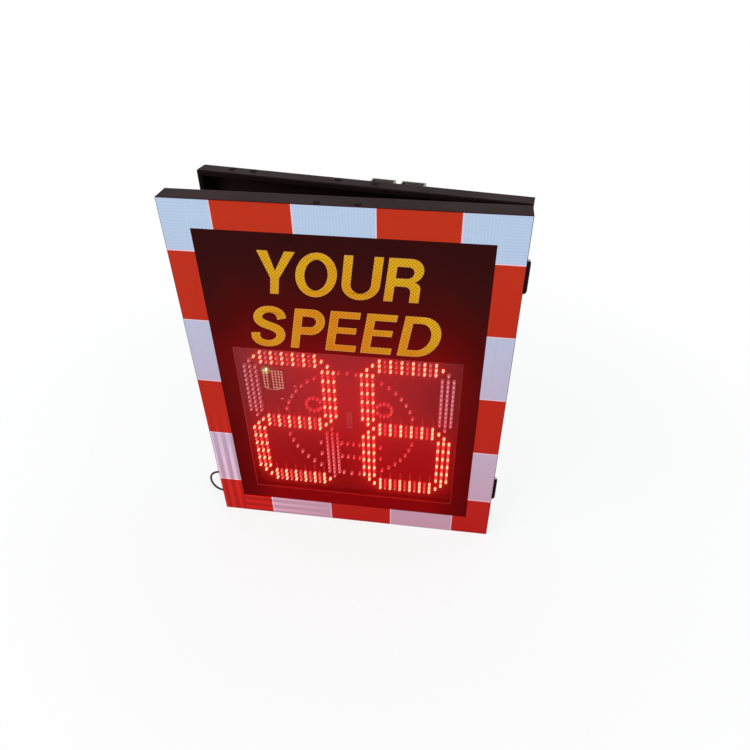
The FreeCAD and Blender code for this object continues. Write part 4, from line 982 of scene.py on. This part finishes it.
def lens():
    """One round lamp on the board: a flange, a straight barrel and a domed tip.

    Its cup attribute says how much of the dark cup inside shows at each height."""
    radius = sizes().lens_radius
    flange = sizes().flange_radius
    length = sizes().lens_length
    foot = FLANGE_HEIGHT * MM
    dome = radius * 0.8
    barrel = (length - foot - dome) / 2
    piece = add_drum("lens", LENS_SIDES, flange / MM, FLANGE_HEIGHT, (0, BOARD_FACE - FLANGE_HEIGHT / 2, 0),
                     (math.radians(90), 0, 0))
    for narrower, rise in ((flange - radius, 0.0), (0.0, barrel), (0.0, barrel), (radius * 0.3, dome * 0.62),
                           (radius * 0.35, dome * 0.38)):
        edit_faces(piece, lambda face: (face.normal.y < -0.9
                                        and face.calc_center_median().xz.length < 0.1 * MM))
        bpy.ops.mesh.extrude_region_move(TRANSFORM_OT_translate={"value": (0, -rise, 0)})
        width = max(abs(vertex.co.x) for face in bmesh.from_edit_mesh(piece.data).faces if face.select
                    for vertex in face.verts)
        bpy.ops.transform.resize(value=(1 - narrower / width, 1.0, 1 - narrower / width))
        leave_edit()
    edit_faces(piece, lambda face: face.normal.y > 0.9)
    bpy.ops.mesh.delete(type="FACE")
    leave_edit()
    heights = [BOARD_FACE * MM - vertex.co.y for vertex in piece.data.vertices]
    shown = np.interp(heights, (foot, foot + barrel, foot + 2 * barrel, length), CUP_SHOWN)
    on_flange = [vertex.co.xz.length > (radius + flange) / 2 for vertex in piece.data.vertices]
    shown[on_flange] = CUP_ON_FLANGE
    piece.data.attributes.new("cup", "FLOAT", "POINT").data.foreach_set("value", shown)
    return piece


def cross_head(radius, facing=0.0):
    """A low screw head with a cross recess, which stands along X turned about Z by an angle in degrees."""
    arm = radius * 0.6
    half = RECESS_WIDTH / 2
    bottom = HEAD_HEIGHT - RECESS_DEPTH
    piece = add_drum("cross_head", 20, radius, HEAD_HEIGHT, (HEAD_HEIGHT / 2, 0, 0), (0, math.radians(90), 0))
    soften(piece, 0.3, 2)
    carve(piece, add_block("slot", (bottom, -arm, -half), (2, arm, half)))
    carve(piece, add_block("cross", (bottom, -half, -arm), (2, half, arm)))
    only(piece)
    piece.rotation_euler.z = math.radians(facing)
    bpy.ops.object.transform_apply()
    return piece


class RADARSIGN_OT_stage(bpy.types.Operator):
    """Pale floor, soft light and the camera"""
    bl_idname = "radar_sign.stage"
    bl_label = "Stage"

    def floor(self):
        """A pale floor that keeps the sign's shadow and turns white farther off."""
        clear_selection()
        bpy.ops.mesh.primitive_plane_add(size=FLOOR_SIZE, location=(0, 0, -FLOOR_DROP))
        floor = named("pale_floor")
        material, tree = blank("pale studio floor")
        away = add(tree, "VectorMath", {0: place_on(tree, False)}, operation="LENGTH")
        away = add(tree, "MapRange", {"Value": away, "From Min": 0.7, "From Max": 1.6, "To Min": 0.8})
        share = add(tree, "Math", {0: seen_rays(tree), 1: away}, operation="MULTIPLY")
        paper = add(tree, "BsdfDiffuse", {"Color": tone("#F2F2F2")})
        white = add(tree, "Emission", {"Color": (1, 1, 1, 1), "Strength": 1.0})
        show(tree, add(tree, "MixShader", {0: share, 1: paper, 2: white}))
        floor.data.materials.append(material)

    def daylight(self, scene):
        """Soft daylight from all round, with white behind the sign."""
        world = bpy.data.worlds.new("soft_daylight")
        world.use_nodes = True
        tree = world.node_tree
        tree.nodes.clear()
        sky = add(tree, "Background", {"Color": tone("#F4F7FF"), "Strength": 0.62})
        white = add(tree, "Background", {"Color": (1, 1, 1, 1), "Strength": 1.0})
        mixed = add(tree, "MixShader", {0: seen_rays(tree), 1: sky, 2: white})
        add(tree, "OutputWorld", {"Surface": mixed})
        scene.world = world

    def lights(self, scene):
        """Large soft lights that face the sign."""
        for name, (place, size, power) in LIGHTS.items():
            lamp = bpy.data.lights.new(name, "AREA")
            lamp.size = size
            lamp.energy = power
            holder = bpy.data.objects.new(name, lamp)
            holder.location = place
            holder.rotation_euler = (LIGHT_AIM - Vector(place)).to_track_quat("-Z", "Y").to_euler()
            scene.collection.objects.link(holder)

    def camera(self, scene):
        """The view of the sign from in front, above and a little to its right."""
        back = VIEW_BACK.normalized()
        right = (VIEW_RIGHT - back * VIEW_RIGHT.dot(back)).normalized()
        up = back.cross(right)
        view = bpy.data.cameras.new("photo_view")
        view.sensor_width = SENSOR_MM
        view.lens = FOCAL_MM
        view.shift_x, view.shift_y = VIEW_SHIFT
        camera = bpy.data.objects.new("photo_view", view)
        camera.matrix_world = Matrix((right, up, back)).transposed().to_4x4()
        camera.location = EYE
        scene.collection.objects.link(camera)
        scene.camera = camera

    def execute(self, context):
        context.scene.view_settings.view_transform = "Standard"
        self.floor()
        self.daylight(context.scene)
        self.lights(context.scene)
        self.camera(context.scene)
        return {"FINISHED"}


class RADARSIGN_OT_lead(bpy.types.Operator):
    """The looped lead on the door's free edge, with its glands"""
    bl_idname = "radar_sign.lead"
    bl_label = "Looped lead"

    def boot(self):
        """A ribbed strain relief that narrows along the lead, away from the gland."""
        piece = add_drum("boot", 20, BOOT_RADIUS, BOOT_FOOT, (-BOOT_FOOT / 2, 0, 0), (0, math.radians(90), 0))
        for step, width in BOOT_STEPS:
            edit_faces(piece, lambda face: (face.normal.x < -0.9
                                            and face.calc_center_median().yz.length < 0.1 * MM))
            bpy.ops.mesh.extrude_region_move(TRANSFORM_OT_translate={"value": (-step * MM, 0, 0)})
            bpy.ops.transform.resize(value=(1.0, width, width))
            leave_edit()
        return soften(piece, 0.2, 1, angle=60.0)

    def execute(self, context):
        nylon = plain("black nylon")
        dress(nylon, "lead_glands", "lead_gland_nuts", "door_plugs")
        base = Vector((DOOR_LEFT, DOOR_FRONT + LEAD_BACK, LEAD_Z))
        route = [base + Vector((-out, along, up)) for out, along, up in LEAD_POINTS]
        seat(repeat("lead_boots", self.boot(), (route[0], route[-1])), "door", nylon)
        curve = bpy.data.curves.new("lead_loop", "CURVE")
        curve.dimensions = "3D"
        curve.bevel_depth = sizes().lead_radius
        curve.bevel_resolution = 3
        curve.use_fill_caps = True
        spline = curve.splines.new("NURBS")
        spline.points.add(len(route) - 1)
        for point, place in zip(spline.points, route):
            point.co = (*(DOOR_SWING @ (place * MM)), 1.0)
        spline.order_u = 3
        spline.use_endpoint_u = True
        spline.resolution_u = 10
        curve.materials.append(plain("black PVC sheath"))
        piece = bpy.data.objects.new("lead_loop", curve)
        context.scene.collection.objects.link(piece)
        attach(piece, "door")
        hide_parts("looped_lead")
        return {"FINISHED"}


class RADARSIGN_OT_trays(bpy.types.Operator):
    """Paint on the trays and hinges, and the rim's seal"""
    bl_idname = "radar_sign.trays"
    bl_label = "Trays and hinges"

    def execute(self, context):
        dress(powder_coat(False), "rear_tray", "upper_hinge_case_leaf", "lower_hinge_case_leaf")
        dress(powder_coat(True), "door_tray", "upper_hinge_door_leaf", "lower_hinge_door_leaf")
        dress(plain("bright drawn steel"), "upper_hinge_pin", "lower_hinge_pin")
        dress(plain("closed-cell rubber"), "rim_seal", "harness_grommet")
        return {"FINISHED"}


class RADARSIGN_OT_face(bpy.types.Operator):
    """Film on the panel, the window and the reflective tape"""
    bl_idname = "radar_sign.face"
    bl_label = "Face, window and tape"

    def execute(self, context):
        dress(panel_film(), "front_panel")
        lit = display_lamps()["lit"]
        sheet = seat(window_sheet(lit), "door", clear_sheet(), smooth=0.0)
        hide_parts("window")
        for side in TAPES:
            dress(tape_film(side), side + "_tape")
        return {"FINISHED"}


class RADARSIGN_OT_legend(bpy.types.Operator):
    """The plain legend in yellow film over the display"""
    bl_idname = "radar_sign.legend"
    bl_label = "Legend"

    def execute(self, context):
        film = legend_film()
        for name in LEGEND:
            seat(legend_row(name), "door", film, smooth=0.0)
        return {"FINISHED"}


class RADARSIGN_OT_lamps(bpy.types.Operator):
    """The lamps of the two digits and of the face sign"""
    bl_idname = "radar_sign.lamps"
    bl_label = "Lamps"

    def execute(self, context):
        digits = display_lamps()
        face = face_lamps([place for group in digits.values() for place in group])
        clear = clear_epoxy()
        groups = (
            ("lit_lamps", digits["lit"], lit_epoxy(), "lamp_red", ("tens_red_lamps", "units_red_lamps")),
            ("resting_red_lamps", digits["dark"], clear, "lamp_red", ()),
            ("green_lamps", digits["green"], clear, "lamp_green", ("tens_green_lamps", "units_green_lamps")),
            ("face_lamps", face, clear, "lamp_face", ("face_sign_lamps",)),
        )
        for name, places, finish, slot, nodes in groups:
            piece = repeat(name, lens(), [(DOOR_MID + x, 0, DIGIT_Z + z) for x, z in places])
            bathe(piece, digits["lit"])
            seat(piece, "door", finish, smooth=50.0)
            if nodes:
                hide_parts(*nodes)
        return {"FINISHED"}


class RADARSIGN_OT_boards(bpy.types.Operator):
    """The LED board, the radar board with its antenna, and the pin connector"""
    bl_idname = "radar_sign.boards"
    bl_label = "Boards"

    def track(self, left, right, low, high):
        """A printed line between two corners from the radar board's middle."""
        return add_block("track", (RADAR_X + left, RADAR_FACE - TRACK_HEIGHT, RADAR_Z + low),
                         (RADAR_X + right, RADAR_FACE, RADAR_Z + high))

    def antenna(self):
        """Columns of patches on the radar board, with the lines that feed them."""
        model = soften(add_block("patch", [-number for number in PATCH_HALF], PATCH_HALF), 0.08, 1)
        places = [(RADAR_X + x, RADAR_FACE - PATCH_HALF[1], RADAR_Z + PATCH_TOP - PATCH_PITCH * row)
                  for x in PATCH_COLUMNS for row in range(PATCH_ROWS)]
        pieces = [repeat("patches", model, places)]
        pieces += [self.track(x - COLUMN_HALF, x + COLUMN_HALF, *COLUMN_LEVELS) for x in PATCH_COLUMNS]
        pieces += [self.track(left, right, level - FEED_WIDTH, level) for left, right, level in FEED_LINES]
        pieces += [self.track(x - STUB_HALF, x + STUB_HALF, *STUB_LEVELS) for x in STUBS_X]
        return join("antenna_patches", pieces)

    def execute(self, context):
        mask = rgba(colours().mask)
        dress(board_mask("red solder mask", mask, shade(mask, 1.5)), "led_board")
        dress(board_mask("green solder mask", tone("#1C3A26"), tone("#2C5236")), "driver_board")
        dress(board_mask("dark solder mask", tone("#3A1014"), tone("#4A161A")), "radar_board")
        dress(plain("turned brass"), "board_standoffs", "radar_standoffs", "driver_standoffs")
        dress(plain("moulded nylon"), "pin_connector")
        dress(plain("grey moulded nylon"), "terminal_block")
        dress(plain("sintered ferrite"), "driver_coils")
        dress(glowing("lit green epoxy", tone("#E2FFA8"), 1.4), "status_lamp")

        # Gold plate on copper: pale and half bright in the lamps' light
        plate = rgba(colours().gold)
        gold = grained("gold-plated copper", shade(plate, 0.8), plate, 2.0, 0.35, metallic=0.2, on_door=True)
        seat(self.antenna(), "door", gold, smooth=0.0)

        pins = [(DOOR_MID + x, PINS_Y, CONNECTOR_Z + z) for x in PIN_COLUMNS for z in PIN_ROWS]
        # Chip resistors stand in short rows above the level segments' red lamps.
        chips = [(DOOR_MID + digit + (column - (CHIP_COLUMNS - 1) / 2) * 2 * LAMP_PITCH,
                  BOARD_FACE - CHIP_HALF[1], DIGIT_Z + level + rise)
                 for digit in (-DIGIT_X, DIGIT_X) for level in (0.0, -2 * SEGMENT_RISE)
                 for column in range(CHIP_COLUMNS) for rise in CHIP_ROWS]
        links = [(DOOR_MID + x, BOARD_FACE - LINK_HALF[1], z) for x, z in WIRE_LINKS]
        for name, places, half, edge, segments, finish, smooth in (
                ("connector_pins", pins, PIN_HALF, 0.25, 1, "tinned pins", 0.0),
                ("chip_resistors", chips, CHIP_HALF, 0.15, 1, "tinned ceramic", 0.0),
                ("wire_links", links, LINK_HALF, 0.3, 2, "tinned wire", 35.0)):
            model = soften(add_block(name, [-number for number in half], half), edge, segments)
            seat(repeat(name, model, places), "door", plain(finish), smooth)
        return {"FINISHED"}


class RADARSIGN_OT_fittings(bpy.types.Operator):
    """Screws in the hinges"""
    bl_idname = "radar_sign.fittings"
    bl_label = "Hinge screws"

    def execute(self, context):
        black = plain("blackened steel")
        radius = sizes().screw_radius / MM
        heights = [middle + step for middle in HINGES_Z for step in HINGE_SCREWS]
        for body, y in LEAF_SCREWS_Y.items():
            places = [(LEAF_FACE, y, z) for z in heights]
            seat(repeat(body + "_hinge_screws", cross_head(radius), places), body, black)
        return {"FINISHED"}


class RADARSIGN_OT_contents(bpy.types.Operator):
    """Finishes of the channels, the locks and what is in the case, with its screws and rivets"""
    bl_idname = "radar_sign.contents"
    bl_label = "Channels, locks and contents"

    def execute(self, context):
        plated = plain("plated steel")
        dress(plain("mill-finish aluminium"), "left_channel", "right_channel")
        dress(plain("bright chromed zinc"), "upper_lock_barrel", "lower_lock_barrel", "lock_nuts")
        dress(plated, "upper_lock_spindle", "lower_lock_spindle", "battery_clamp")
        dress(plain("black nylon fittings"), "supply_gland", "supply_gland_nut", "case_plugs")
        dress(plain("moulded ABS"), "battery_pack")
        dress(plain("anodised aluminium"), "charge_controller")

        low, high = [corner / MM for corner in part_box("battery_clamp")]
        feet = [(x, high.y - CLAMP_SHEET, (low.z + high.z) / 2 + step)
                for x in (low.x + CLAMP_INSET, high.x - CLAMP_INSET) for step in CLAMP_STEPS]
        head = cross_head(CLAMP_SCREW, FACING_DOOR)
        seat(repeat("clamp_screws", head, feet), "case", plated)
        rivets = [(channel + side, high.y, z) for channel in CHANNELS_X for side in RIVET_SIDES
                  for z in RIVETS_Z]
        rivet = add_drum("rivet", 14, RIVET_RADIUS, RIVET_HEIGHT, (0, -RIVET_HEIGHT / 2, 0),
                         (math.radians(90), 0, 0))
        seat(repeat("channel_rivets", soften(rivet, 0.9, 2), rivets), "case", plated)
        low, high = [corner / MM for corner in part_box("charge_controller")]
        across, up = CONTROLLER_INSET
        corners = [(x, low.y, z) for x in (low.x + across, high.x - across)
                   for z in (low.z + up, high.z - up)]
        head = cross_head(CONTROLLER_SCREW, FACING_DOOR)
        seat(repeat("controller_screws", head, corners), "case", plated)
        low, high = [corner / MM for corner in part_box("terminal_block")]
        way = (high.x - low.x - WAY_WALL) / WAYS
        ways = [(low.x + WAY_WALL / 2 + (index + 0.5) * way, low.y + WAY_DEPTH, (low.z + high.z) / 2 + step)
                for index in range(WAYS) for step in WAY_STEPS]
        brass = plain("nickelled brass")
        head = cross_head(WAY_SCREW, FACING_DOOR)
        seat(repeat("terminal_screws", head, ways), "case", brass)
        return {"FINISHED"}


class RADARSIGN_PT_panel(bpy.types.Panel):
    """Sizes, colours and pieces of the radar speed sign"""
    bl_idname = "RADARSIGN_PT_panel"
    bl_label = "Radar Speed Sign"
    bl_space_type = "VIEW_3D"
    bl_region_type = "UI"
    bl_category = "Radar Sign"

    def draw(self, context):
        for group in (sizes(), colours()):
            box = self.layout.box()
            for name in group.__annotations__:
                box.prop(group, name)
        for operator in OPERATORS:
            self.layout.operator(operator.bl_idname)


OPERATORS = (RADARSIGN_OT_stage, RADARSIGN_OT_lead, RADARSIGN_OT_trays, RADARSIGN_OT_face,
             RADARSIGN_OT_legend, RADARSIGN_OT_lamps, RADARSIGN_OT_boards, RADARSIGN_OT_fittings,
             RADARSIGN_OT_contents)
CLASSES = (RadarSignSizes, RadarSignColours, *OPERATORS, RADARSIGN_PT_panel)


def register():
    for item in CLASSES:
        bpy.utils.register_class(item)
    bpy.types.Scene.radar_sign_sizes = bpy.props.PointerProperty(type=RadarSignSizes)
    bpy.types.Scene.radar_sign_colours = bpy.props.PointerProperty(type=RadarSignColours)


def unregister():
    del bpy.types.Scene.radar_sign_colours
    del bpy.types.Scene.radar_sign_sizes
    for item in reversed(CLASSES):
        bpy.utils.unregister_class(item)


def main():
    register()
    bpy.ops.radar_sign.stage()
    bpy.ops.radar_sign.lead()
    bpy.ops.radar_sign.trays()
    bpy.ops.radar_sign.face()
    bpy.ops.radar_sign.legend()
    bpy.ops.radar_sign.lamps()
    bpy.ops.radar_sign.boards()
    bpy.ops.radar_sign.fittings()
    bpy.ops.radar_sign.contents()
    clear_selection()


if __name__ == "__main__":
    main()
